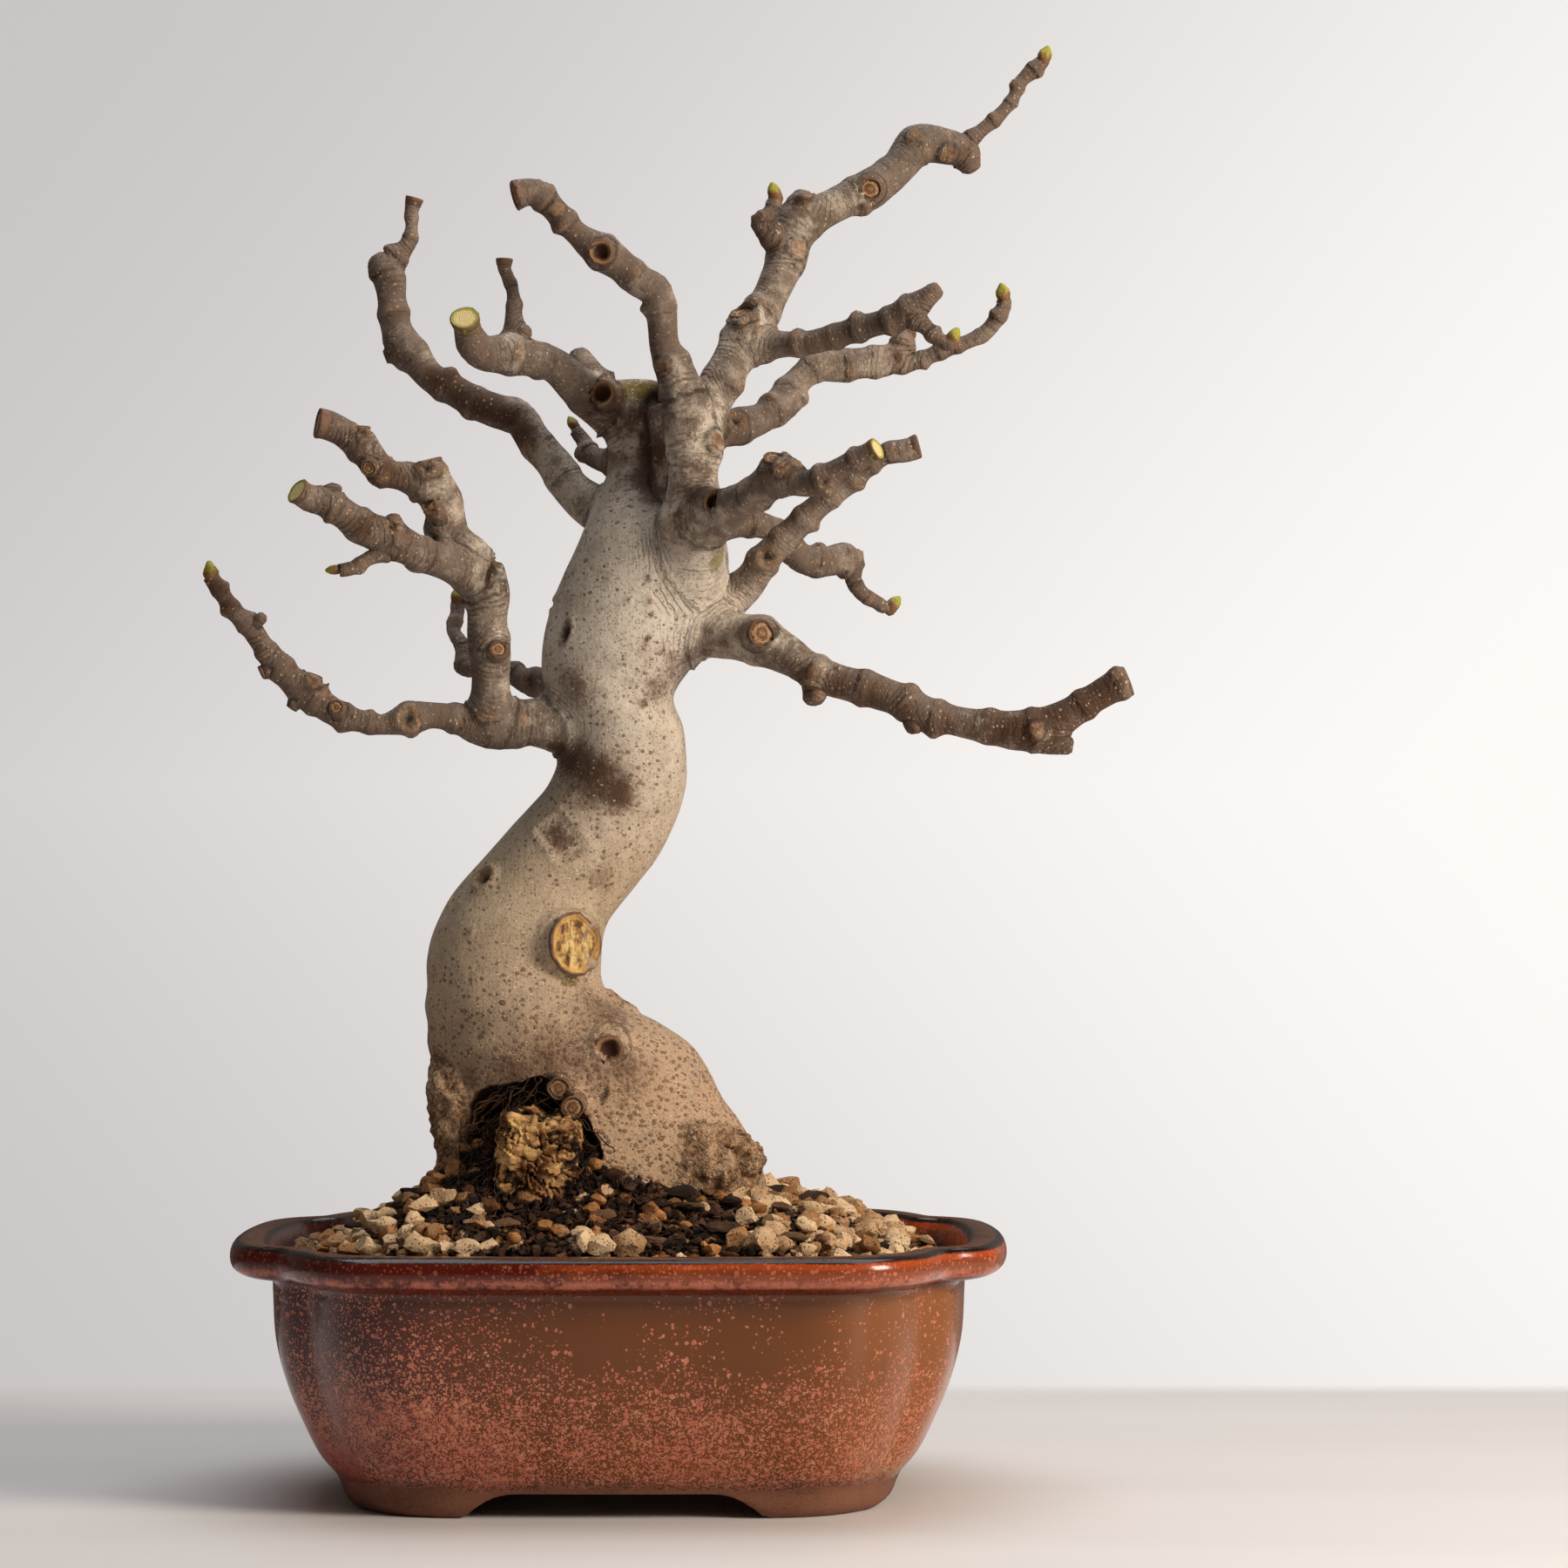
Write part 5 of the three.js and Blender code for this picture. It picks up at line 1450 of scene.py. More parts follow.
@dataclass(frozen=True)
class BarkFinish:
    """Pale smooth bark with rusty pores on the trunk, darker and speckled on the limbs."""

    trunk_pale: Colour = colour(196, 185, 170)
    trunk_shade: Colour = colour(146, 128, 110)
    trunk_low: Colour = colour(182, 161, 136)
    foot: Colour = colour(172, 136, 104)
    pore: Colour = colour(104, 66, 42)
    grain_dark: Colour = colour(104, 80, 60)
    grain_pale: Colour = colour(226, 208, 180)
    limb_old: Colour = colour(198, 183, 165)
    limb_dark: Colour = colour(80, 66, 56)
    twig: Colour = colour(102, 82, 69)
    fleck: Colour = colour(210, 188, 160)
    # Brown dirt and a near-black film: real dirt and dark film on the bark, and also the colours of the
    # painted shade that the stain layer carries.
    dirt: Colour = colour(88, 57, 34)
    soot: Colour = colour(56, 37, 22)
    green: Colour = colour(120, 108, 40)
    wood: Colour = colour(152, 120, 90)
    cork: Colour = colour(192, 158, 124)
    cork_dark: Colour = colour(122, 88, 60)
    crack: Colour = colour(32, 20, 13)

    def build(self) -> bpy.types.Material:
        """Makes the material."""
        g = Graph("bark")
        here = g.coordinates()
        grain = g.attribute("grain", "Vector")
        names = ("age", "collar", "limb", "rough", "pit", "groove")
        age, collar, limb, rough, pit, groove = (g.attribute(name) for name in names)
        wood, moss, stain = g.parts(g.attribute("marks", "Vector"))
        _, _, up = g.parts(here)

        broad = g.noise(here, 26.0, 4.0, 0.6)
        mottle = g.noise(here, 150.0, 5.0, 0.62)
        fine = g.noise(here, 800.0, 4.0, 0.65)
        low = (up + (broad - 0.5) * 0.05).step(0.185, 0.125)
        trunk = g.mix(self.trunk_low, self.trunk_pale, (up + (broad - 0.5) * 0.08).step(0.19, 0.27))
        trunk = g.mix(trunk, self.foot, low * 0.75)
        trunk = g.mix(trunk, self.trunk_shade, (mottle * 0.6 + broad * 0.5).step(0.5, 0.72) * 0.6)
        film = g.noise(here, 34.0, 4.0, 0.6).step(0.45, 0.65) * up.step(0.15, 0.19) * up.step(0.27, 0.22)
        trunk = g.mix(trunk, self.green, film * 0.1)

        dark = (broad * 1.0 + mottle * 0.7 + age * 0.1).step(0.68, 0.98)
        limbs = g.mix(self.limb_old, self.limb_dark, dark * 0.85)
        limbs = g.mix(limbs, self.twig, age.step(0.6, 0.98) * 0.7)
        blotch = g.noise(here, 70.0, 4.0, 0.65)
        limbs = g.mix(limbs, self.limb_dark, (blotch + (fine - 0.5) * 0.3).step(0.5, 0.64) * 0.6)
        skin = g.mix(trunk, limbs, (age * 1.4 + limb * 0.35).step(0.1, 0.8))
        skin = g.mix(skin, self.grain_dark, fine.step(0.46, 0.7) * 0.34)

        # Stains laid as brown speckle, then a near-black film where the stain layer is strong. This is
        # painted shade under the elbow, at the leader's base, in the crevice and in the hollow, and a dark
        # film of the bark elsewhere.
        smudge_and_painted_shade = (stain * 0.75 + (mottle - 0.5) * 1.1 + (fine - 0.5) * 1.1).step(0.12, 0.75)
        smudge_and_painted_shade = smudge_and_painted_shade * stain.step(0.0, 0.3) * 0.55
        skin = g.mix(skin, self.dirt, (smudge_and_painted_shade + stain * 0.35).low(0.86))
        film_and_painted_shade_edge = stain + (broad - 0.5) * 0.3 + (mottle - 0.5) * 0.35
        skin = g.mix(skin, self.soot, film_and_painted_shade_edge.step(0.2, 1.15) * (stain - 0.2).step(0.0, 0.5) * 0.72)
        bare = g.mix(self.wood, self.dirt, (mottle * 0.7 + fine * 0.6).step(0.5, 0.8) * 0.85)
        skin = g.mix(skin, bare, wood * 0.8)
        mossy = (moss + (mottle - 0.5) * 1.4 + (fine - 0.5) * 0.8).step(0.3, 0.9) * moss.step(0.0, 0.3)
        skin = g.mix(skin, g.mix(self.green, self.dirt, fine.step(0.4, 0.65) * 0.6), mossy * 0.7)

        lengthy = g.scaled(grain, (1.0, 1.0, 1.35))
        aside = g.scaled(grain, (1.0, 1.0, 1.35), (0.31, 0.12, 0.23))
        thick = low * 0.5 + stain * 0.6 + (broad - 0.5) * 0.6
        speck = g.dots(lengthy, 900.0, 0.36, 0.45 + low * 0.35)
        chalk = g.dots(aside, 760.0, 0.32, 0.3 - low * 0.15 - stain * 0.2)
        small = g.dots(lengthy, 470.0, 0.33, thick + 0.2 + low * 0.25)
        large = g.dots(aside, 300.0, 0.3, thick + low * 0.12)
        pore = small.high(large) * (1.0 - limb * 0.7) * (1.0 - stain * 0.6)
        skin = g.mix(skin, self.grain_dark, speck * 0.5)
        skin = g.mix(skin, self.grain_pale, chalk * (0.5 - limb * 0.25))
        skin = g.mix(skin, self.pore, pore * 0.7)
        fleck = g.dots(lengthy, 560.0, 0.26, 0.14 + age * 0.22) * (0.25 + limb * 0.75)
        skin = g.mix(skin, self.fleck, fleck * 0.5)

        rings = g.noise(g.scaled(grain, (70.0, 70.0, 750.0)), 1.0, 4.0, 0.65)
        skin = g.mix(skin, self.dirt, rings.step(0.55, 0.7) * limb * (0.25 + broad * 0.5))
        crease = (groove + (mottle - 0.5) * 1.6 + (blotch - 0.5) * 1.6).step(0.6, 1.2)
        crease = crease * groove.step(0.1, 0.4) * limb
        skin = g.mix(skin, self.soot, crease * (0.25 + age * 0.35))
        wave = (collar * 58.0 + mottle * 12.0 + broad * 9.0).math("SINE")
        fold = wave.step(0.0, 1.0) * collar.step(0.85, 0.1) * g.noise(here, 90.0, 3.0, 0.6).step(0.4, 0.62)
        skin = g.mix(skin, self.dirt, fold * 0.38)

        warp = g.noise(here, 190.0, 6.0, 0.75)
        crag = abs(g.noise(here, 85.0, 6.0, 0.72) - 0.5) * 2.0
        cork = (warp * 0.8 + mottle * 0.4 + (fine - 0.5) * 0.6).step(0.45, 0.72)
        cork = g.mix(self.cork_dark, self.cork, cork)
        cork = g.mix(self.crack, cork, (crag + (fine - 0.5) * 0.12).step(-0.03, 0.06))
        skin = g.mix(skin, cork, (rough + (mottle - 0.5) * 0.5).step(0.35, 0.65))
        # Pits darken towards near black. In the crevice and in the hollow this is painted shade.
        skin = g.mix(skin, self.crack, pit * (0.7 + mottle * 0.5).low(0.92))

        relief = (
            mottle * 0.5 + fine * 0.5 + rings * limb * 0.8 + pore * 0.6 + fleck * 0.35 + chalk * 0.25
            - speck * 0.15 - crease * 0.5 - fold * 0.6 + mossy * 0.3
            + (crag.low(0.2) * 3.0 + warp) * rough * 1.5
        )
        normal = g.bump(relief, 0.001, 0.85)
        shine = 0.6 + mottle * 0.2 + rough * 0.15
        return g.finish(Base_Color=skin, Roughness=shine.low(1.0), Normal=normal, Specular_IOR_Level=0.35)


@dataclass(frozen=True)
class CutFinish:
    """Bare wood at the cut ends: cream, tan or yellow with decay, inside a rim of bark."""

    bark: Colour = colour(112, 86, 70)
    tan: Colour = colour(158, 120, 84)
    tan_pale: Colour = colour(188, 158, 122)
    tan_dark: Colour = colour(88, 56, 36)
    cream: Colour = colour(206, 184, 128)
    green: Colour = colour(142, 146, 48)
    yellow: Colour = colour(200, 156, 88)
    decay: Colour = colour(62, 34, 18)

    def build(self) -> bpy.types.Material:
        """Makes the material."""
        g = Graph("cut wood")
        here = g.coordinates()
        share = g.attribute("share")
        kind = g.attribute("kind")
        mottle = g.noise(here, 420.0, 5.0, 0.65)
        fine = g.noise(here, 1600.0, 3.0, 0.6)
        wave = (share * 46.0 + mottle * 9.0).math("SINE")
        old = g.ramp(share + (mottle - 0.5) * 0.7 + (fine - 0.5) * 0.5, [
            (0.0, self.tan_pale), (0.16, self.tan), (0.34, self.tan_dark), (0.5, self.tan),
            (0.6, self.tan_pale), (0.7, self.tan), (0.78, self.decay), (0.86, self.bark)])
        old = g.mix(old, self.tan_dark, (wave * 0.3 + fine).step(0.4, 0.9) * 0.5)
        fresh = g.mix(self.cream, self.tan, (share * -6.0 + mottle * 2.0).step(0.0, 1.4) * 0.6)
        fresh = g.mix(fresh, self.green, (share + (mottle - 0.5) * 0.3).step(0.64, 0.82))
        hollow = g.mix(self.decay, self.tan, (share + (mottle - 0.5) * 0.5).step(0.5, 0.85) * 0.8)
        bands = g.noise(g.scaled(here, (360.0, 360.0, 110.0)), 1.0, 4.0, 0.6)
        wound = g.mix(self.yellow, self.cream, (bands * 0.8 + fine * 0.3).step(0.5, 0.74))
        wound = g.mix(wound, self.tan_dark, (mottle * 0.5 + bands * 0.6).step(0.66, 0.48) * 0.85)
        wound = g.mix(wound, self.decay, (bands * 0.7 + mottle * 0.4).step(0.52, 0.42) * 0.95)
        wound = g.mix(wound, self.yellow, share.step(0.72, 0.84) * 0.6)
        face = g.mix(old, fresh, kind.step(0.4, 0.6))
        face = g.mix(face, hollow, kind.step(1.4, 1.6))
        face = g.mix(face, wound, kind.step(2.4, 2.6))
        rim = g.mix(self.bark, self.tan_dark, mottle.step(0.4, 0.65) * 0.6)
        skin = g.mix(face, rim, (share + (mottle - 0.5) * 0.08).step(0.9, 0.96))
        normal = g.bump(mottle * 0.7 + fine * 0.3 + wave * 0.12, 0.0006, 0.8)
        return g.finish(Base_Color=skin, Roughness=0.62 + fine * 0.25, Normal=normal, Specular_IOR_Level=0.35)


@dataclass(frozen=True)
class BudFinish:
    """Green bud tips out of brown scales."""

    tip: Colour = colour(146, 142, 46)
    scale: Colour = colour(112, 76, 48)

    def build(self) -> bpy.types.Material:
        """Makes the material."""
        g = Graph("bud")
        here = g.coordinates()
        height = g.attribute("height")
        mottle = g.noise(here, 700.0, 4.0, 0.6)
        skin = g.mix(self.scale, self.tip, (height + (mottle - 0.5) * 0.9).step(0.4, 0.75))
        normal = g.bump(mottle, 0.0004, 0.7)
        return g.finish(Base_Color=skin, Roughness=0.5 + mottle * 0.25, Normal=normal, Specular_IOR_Level=0.4)


@dataclass(frozen=True)
class RootFinish:
    """Flaking yellow-brown root wood with dark patches, its cracks and deeper parts painted dark as shade; or
    dark root fibres.
    """

    name: str
    pale: Colour
    brown: Colour
    deep: Colour = colour(28, 17, 10)

    def build(self) -> bpy.types.Material:
        """Makes the material."""
        g = Graph(self.name)
        here = g.coordinates()
        deep = g.attribute("deep")
        strata = g.noise(g.scaled(here, (120.0, 120.0, 520.0)), 1.0, 5.0, 0.65)
        mottle = g.noise(here, 200.0, 5.0, 0.65)
        grit = g.noise(here, 1400.0, 3.0, 0.6)
        blot = g.noise(here, 75.0, 3.0, 0.6)
        aged = (strata * 0.5 + mottle * 0.7 + (blot - 0.5) * 0.7).step(0.44, 0.68)
        skin = g.mix(self.pale, self.brown, aged)
        # Darker where the surface lies deeper: painted shade in the cracks and under the flakes, mixed with
        # dark patches by noise.
        decay = deep + (mottle - 0.5) * 3.0 + (strata - 0.5) * 1.4 + (blot - 0.5) * 2.6
        skin = g.mix(skin, self.deep, decay.step(0.1, 0.8))
        normal = g.bump(strata * 0.7 + grit * 0.3 - deep * 0.4, 0.0012, 0.9)
        return g.finish(Base_Color=skin, Roughness=0.75 + grit * 0.2, Normal=normal, Specular_IOR_Level=0.25)


ROOT_WOOD = RootFinish("root wood", colour(200, 160, 106), colour(112, 72, 40))
ROOT_FIBRE = RootFinish("root fibre", colour(88, 60, 40), colour(36, 23, 14))


# The pot


@dataclass(frozen=True)
class PotPlan:
    """The pot's lobed outline from above, in millimetres."""

    rim_half_length: float = 125
    rim_half_depth: float = 99
    steps: tuple[int, ...] = (9, 11, 20, 18)

    def ring(self, half_length: float, height: float) -> np.ndarray:
        """The outline at one height.

        Args:
            half_length: From the middle to the pot's end.
            height: Above the ground.

        Returns:
            The outline's points in metres.
        """
        taper = self.rim_half_length - half_length
        half_depth = self.rim_half_depth - 0.85 * taper
        notch = (half_length - 20 + 0.3 * taper, 60 - 0.3 * taper)
        gap = half_depth - notch[1]
        quarter = np.concatenate([
            bezier([(half_length, 0), (half_length, 0.4 * notch[1]), (half_length - 3, 0.7 * notch[1])],
                   self.steps[0]),
            bezier([(half_length - 3, 0.7 * notch[1]), (half_length - 5, 0.95 * notch[1]), notch],
                   self.steps[1]),
            bezier([notch, (notch[0] - 4, notch[1] + 0.3 * gap), (notch[0] - 10, notch[1] + 0.9 * gap),
                    (notch[0] - 32, 0.98 * half_depth)], self.steps[2]),
            bezier([(notch[0] - 32, 0.98 * half_depth), (0, half_depth)], self.steps[3]),
            [(0, half_depth)],
        ])
        flipped = quarter[::-1]
        plan = np.concatenate([
            quarter[:-1], (flipped * (-1, 1))[:-1], (quarter * (-1, -1))[:-1], (flipped * (1, -1))[:-1],
        ])
        return np.array([place(x, y, height) for x, y in plan])


@dataclass
class Pot:
    """The fired pot: lobed wall, rolled rim, and bare clay feet with arches between them."""

    plan: PotPlan = PotPlan()
    step: float = 1.1
    foot: tuple[tuple[float, float], ...] = ((60, 9), (70.6, 9), (71.8, 8.4), (72, 4), (72.2, 0.7), (73, 0))
    outer: tuple[tuple[float, float], ...] = (
        (84.4, 0), (86, 0.4), (88.6, 2.5), (90.8, 8), (92, 10), (97, 16), (102.5, 27), (107, 38), (110.5, 52),
        (111.5, 68), (111.8, 71.5), (114.5, 72.6), (120.5, 73.6), (124.3, 76), (125, 79.5), (123.8, 82.6),
        (120, 84), (113.6, 83.4), (111.2, 80.5),
    )
    inner: tuple[tuple[float, float], ...] = (
        (109, 76), (106, 70), (104.5, 52), (101, 38), (96.5, 27), (91, 19.5), (82, 15), (60, 15),
    )
    easing: int = 5
    arch_top: float = 8.2
    front_arch: tuple[float, float] = (30, 47)
    end_arch: tuple[float, float] = (15, 28)
    hole_radius: float = 8
    hole_place: float = 44

    def arch(self, x: float, y: float) -> float:
        """How high the arches lift the foot at a place.

        Args:
            x: Millimetres to the right of the middle.
            y: Millimetres to the back.

        Returns:
            The height in millimetres.
        """
        low, high = self.front_arch if abs(y) > 40 else self.end_arch
        along = abs(x) if abs(y) > 40 else abs(y)
        share = float(np.clip((high - along) / (high - low), 0, 1))
        return self.arch_top * (1 - (1 - share) ** 2.2) * (share > 0)

    def eased(self, ring: np.ndarray) -> np.ndarray:
        """Softens the crease between the pot's lobes."""
        for _ in range(self.easing):
            ring = (np.roll(ring, 1, axis=0) + 2 * ring + np.roll(ring, -1, axis=0)) / 4
        return ring

    def mesh(self) -> bpy.types.Mesh:
        """Builds the pot's skin with its drain holes and the attribute of its inner side."""
        outer = spline(np.array(self.outer, dtype=float), self.step)
        inner = spline(np.array(self.inner, dtype=float), 4 * self.step)
        profile = [*self.foot, *outer, *inner]
        rings = []
        for half_length, height in profile:
            ring = self.eased(self.plan.ring(half_length, height))
            if half_length < 92 and height < self.arch_top:
                for point in ring:
                    x, y = (point[:2] - np.array(POT_MIDDLE[:2])) / MM
                    point[2] = max(point[2], POT_MIDDLE.z + self.arch(x, y) * MM)
            rings.append(ring)
        bm = loft(rings)
        bm.verts.ensure_lookup_table()
        layer = bm.verts.layers.float.new("inside")
        first_inner = (len(profile) - len(inner)) * len(rings[0])
        for vert in bm.verts[first_inner:]:
            vert[layer] = 1.0
        bmesh.ops.remove_doubles(bm, verts=bm.verts, dist=0.02 * MM)
        return self.drilled(to_mesh(bm, "pot"))

    def drilled(self, mesh: bpy.types.Mesh) -> bpy.types.Mesh:
        """Cuts the drain holes through the floor."""
        bm = bmesh.new()
        for side in (-1, 1):
            where = Matrix.Translation(place(side * self.hole_place, 0, 12))
            bmesh.ops.create_cone(bm, cap_ends=True, segments=40, radius1=self.hole_radius * MM,
                                  radius2=self.hole_radius * MM, depth=12 * MM, matrix=where)
        cutter = linked("drill", to_mesh(bm, "drill"))
        result = worked(mesh, "BOOLEAN", operation="DIFFERENCE", object=cutter, solver="EXACT")
        bpy.data.objects.remove(cutter)
        result.set_sharp_from_angle(angle=math.radians(38))
        return result


@dataclass(frozen=True)
class GlazeFinish:
    """Glossy brown glaze with salmon speckles, banded on the lip, with a painted shadow under the lip and a
    red band along its top that is partly a painted highlight, over bare clay at the feet.
    """

    olive: Colour = colour(100, 54, 6)
    maroon: Colour = colour(66, 26, 20)
    amber: Colour = colour(136, 80, 34)
    speckle: Colour = colour(184, 104, 80)
    speckle_pale: Colour = colour(204, 136, 104)
    merged: Colour = colour(132, 70, 52)
    mauve: Colour = colour(150, 66, 64)
    crackle: Colour = colour(150, 132, 98)
    neck: Colour = colour(84, 26, 10)
    lip_red: Colour = colour(186, 70, 22)
    lip_dark: Colour = colour(74, 24, 14)
    lip_brown: Colour = colour(124, 62, 36)
    line: Colour = colour(30, 18, 18)
    rim_top: Colour = colour(100, 68, 53)
    inside_brown: Colour = colour(54, 26, 18)
    clay: Colour = colour(122, 80, 60)
    clay_dark: Colour = colour(82, 50, 36)

    @staticmethod
    def speckles(g: Graph, where: Signal, sizes: Sequence[tuple[float, float, Signal]]) -> Signal:
        """Round speckles in several sizes, each with its cells a metre, radius and density."""
        return reduce(Signal.high, [g.dots(where, *size, 0.55, (-0.03, 0.04)) for size in sizes])

    def build(self) -> bpy.types.Material:
        """Makes the material."""
        g = Graph("glaze")
        here = g.coordinates()
        across, _, up = g.parts(here)
        inside = g.attribute("inside")
        broad = g.noise(here, 11.0, 3.0, 0.55)
        patch = g.noise(here, 42.0, 4.0, 0.6)
        fine = g.noise(here, 300.0, 4.0, 0.65)
        runs = g.noise(g.scaled(here, (90.0, 90.0, 12.0)), 1.0, 3.0, 0.5)
        height = up * 1000.0 + (patch - 0.5) * 1.6 + (fine - 0.5) * 0.8
        side = (across * 11.0 + broad * 0.9 + 0.82).step(0.25, 1.0)

        ground = g.mix(self.maroon, self.olive, side)
        ground = g.mix(ground, self.amber, (across * 10.0 + broad).step(0.75, 1.6) * 0.7)
        ground = g.mix(ground, self.maroon, runs.step(0.55, 0.75) * 0.45)
        density = (
            height.step(58.0, 24.0, 0.1, 0.8) + (1.0 - side) * 0.26 + (patch - 0.5) * 1.0
            + (runs - 0.5) * 0.3
        )
        warped = g.node("ShaderNodeVectorMath", {"operation": "ADD"}, {
            0: here, 1: g.scaled(g.node("ShaderNodeTexNoise", {}, {"Vector": here, "Scale": 500.0}, "Color"),
                                 (0.0012, 0.0012, 0.0012))})
        spots = self.speckles(g, warped, ((420.0, 0.36, density * 0.5), (700.0, 0.4, density * 0.85),
                                          (1150.0, 0.46, density * 1.1), (1900.0, 0.46, density - 0.1)))
        cloud = (density + (fine - 0.5) * 1.5 + (patch - 0.5) * 0.5).step(0.72, 1.25)
        body = g.mix(ground, self.merged, cloud * 0.55)
        body = g.mix(body, g.mix(self.speckle, self.speckle_pale, fine.step(0.45, 0.7)), spots * 0.85)
        low_left = height.step(34.0, 16.0) * across.step(-0.03, -0.09)
        body = g.mix(body, self.mauve, (low_left * (patch * 1.6)).step(0.45, 1.1) * 0.6)
        low_right = height.step(46.0, 22.0) * across.step(0.0, 0.08)
        netting = g.cells(warped, 420.0, "DISTANCE_TO_EDGE").step(0.05, 0.2)
        body = g.mix(body, self.crackle, (low_right * patch * 1.6).step(0.6, 1.2) * (1.0 - netting) * 0.6)

        lip_side = (across * 7.0 + patch * 1.4 + broad * 0.6).step(0.2, 1.6)
        lip_spots = self.speckles(g, warped, ((620.0, 0.42, 0.1 + patch * 0.6), (1000.0, 0.42, patch * 0.9)))
        # Painted shadow: a dark red-brown band on the neck under the rolled lip.
        body = g.mix(body, self.neck, height.step(70.4, 72.4) * 0.85)
        lip = g.mix(self.lip_dark, self.lip_brown, (lip_side * 0.6 + fine * 0.5).step(0.3, 0.85))
        lip = g.mix(lip, self.speckle, (fine + patch * 0.5).step(0.6, 0.85) * height.step(78.0, 76.0) * 0.75)
        lip = g.mix(lip, self.speckle, lip_spots * (0.25 + lip_side * 0.5))
        body = g.mix(body, lip, height.step(74.0, 75.2))
        # The red band along the lip's upper edge, strongest toward the right: partly the glaze's red line,
        # partly a painted highlight.
        red_band_and_painted_highlight = height.step(80.2, 81.0) * height.step(82.8, 82.0) * lip_side.step(0.1, 0.9)
        body = g.mix(body, self.lip_red, red_band_and_painted_highlight * (0.1 + runs * 0.55))
        body = g.mix(body, self.line, height.step(82.0, 82.8))
        top = g.mix(self.rim_top, self.lip_dark, (fine * 0.6 + patch * 0.6).step(0.5, 0.8) * 0.8)
        body = g.mix(body, top, height.step(83.5, 83.9))
        dark = g.mix(self.inside_brown, self.line, patch.step(0.4, 0.7) * 0.6)
        body = g.mix(body, dark, inside)

        grit = g.noise(here, 1400.0, 3.0, 0.7)
        clay = g.mix(self.clay_dark, self.clay, (patch * 0.6 + grit * 0.6).step(0.35, 0.75))
        edge = up * 1000.0 + (patch - 0.5) * 5.0 + (runs - 0.5) * 3.0
        bare = edge.step(10.2, 9.6) * (1.0 - inside)
        skirt = edge.step(13.5, 10.2) * (1.0 - bare)
        body = g.mix(body, self.line, skirt * 0.5)
        body = g.mix(body, clay, bare)

        relief = patch * 0.5 + broad * 0.4 + spots * 0.05 * (1.0 - bare) + bare * (grit * 0.5 - 0.5)
        normal = g.bump(relief, 0.0006, 0.6)
        shine = 0.14 + fine * 0.1 + spots * 0.16 + cloud * 0.1
        return g.finish(Base_Color=body, Roughness=shine + bare * (0.72 - shine), Normal=normal,
                        Specular_IOR_Level=0.36, Coat_Weight=(1.0 - bare) * 0.12, Coat_Roughness=0.08)


# The soil


@dataclass
class Bed:
    """The soil's own body, mounded up to the trunk and into the hollow of its foot."""

    plan: PotPlan = PotPlan()
    half_length: float = 108
    edge: float = 80.5
    end_drop: float = 10
    mound: float = 13
    hump_middle: tuple[float, float] = (-25, -29)
    hump_reach: tuple[float, float] = (34, 19)
    hump_height: float = 27
    damp_middle: tuple[float, float] = (-34, -36)
    damp_reach: tuple[float, float] = (26, 15)
    walls: tuple[tuple[float, float], ...] = ((70, 15.6), (81, 15.6), (90, 20), (95.5, 27.5), (100, 38.5),
                                              (103.4, 52), (105, 64), (106.5, 69))
    rings: int = 62

    def __post_init__(self) -> None:
        """Keeps the outline as reach over angle."""
        ring = (self.plan.ring(self.half_length, 0)[:, :2] - np.array(POT_MIDDLE[:2])) / MM
        angles = np.arctan2(ring[:, 1], ring[:, 0])
        order = np.argsort(angles)
        self.angles, self.reaches = angles[order], np.linalg.norm(ring, axis=1)[order]

    def outward(self, x: float, y: float) -> float:
        """Share of the way from the middle to the soil's edge."""
        reach = np.interp(math.atan2(y, x), self.angles, self.reaches, period=math.tau)
        return math.hypot(x, y) / float(reach)

    def height(self, x: float, y: float) -> float:
        """The soil's height at a place.

        Args:
            x: Millimetres to the right of the pot's middle.
            y: Millimetres to the back.

        Returns:
            Millimetres above the ground.
        """
        share = min(self.outward(x, y), 1.0)
        drop = self.end_drop * float(smoothstep(0.45, 1.0, abs(x) / self.half_length))
        height = self.edge - drop + self.mound * (1 - share ** 2.4)
        return height + self.hump_height * self.hill(x, y, self.hump_middle, self.hump_reach)

    def damp(self, x: float, y: float) -> float:
        """How much darker the grains are at a place: painted shade, most in the hollow of the trunk's foot.
        """
        return self.hill(x, y, self.damp_middle, self.damp_reach)

    @staticmethod
    def hill(x: float, y: float, middle: Sequence[float], reach: Sequence[float]) -> float:
        """A smooth hill of height 1 round a middle."""
        return math.exp(-(((x - middle[0]) / reach[0]) ** 2 + ((y - middle[1]) / reach[1]) ** 2))

    def mesh(self) -> bpy.types.Mesh:
        """Builds the bed."""
        rings = [self.plan.ring(half_length, height) for half_length, height in self.walls]
        edge = self.plan.ring(self.half_length, 0)
        middle = np.array(POT_MIDDLE)
        for share in np.linspace(1.0, 0.02, self.rings):
            ring = middle + (edge - middle) * share
            heights = [self.height(*((point[:2] - middle[:2]) / MM)) for point in ring]
            ring[:, 2] = POT_MIDDLE.z + np.array(heights) * MM
            rough = noise_at(ring, 7.0, 5.5, 3) * 1.1 + noise_at(ring, 24.0, 1.5, 1) * 1.4
            ring[:, 2] += rough * MM * min(1.0, (1.0 - share) * 12 + 0.2)
            rings.append(ring)
        return to_mesh(loft(rings), "soil_bed")


@dataclass(frozen=True)
class GrainKind:
    """One kind of loose grain in the soil, in millimetres."""

    name: str
    number: int
    radius: tuple[float, float]
    proportions: tuple[float, float, float]
    lumps: float
    divisions: int
    crowding: Callable[[float, float, float], float]
    layers: float
    facets: int = 9
    crease: float = 36
    tilt: float = 1.3


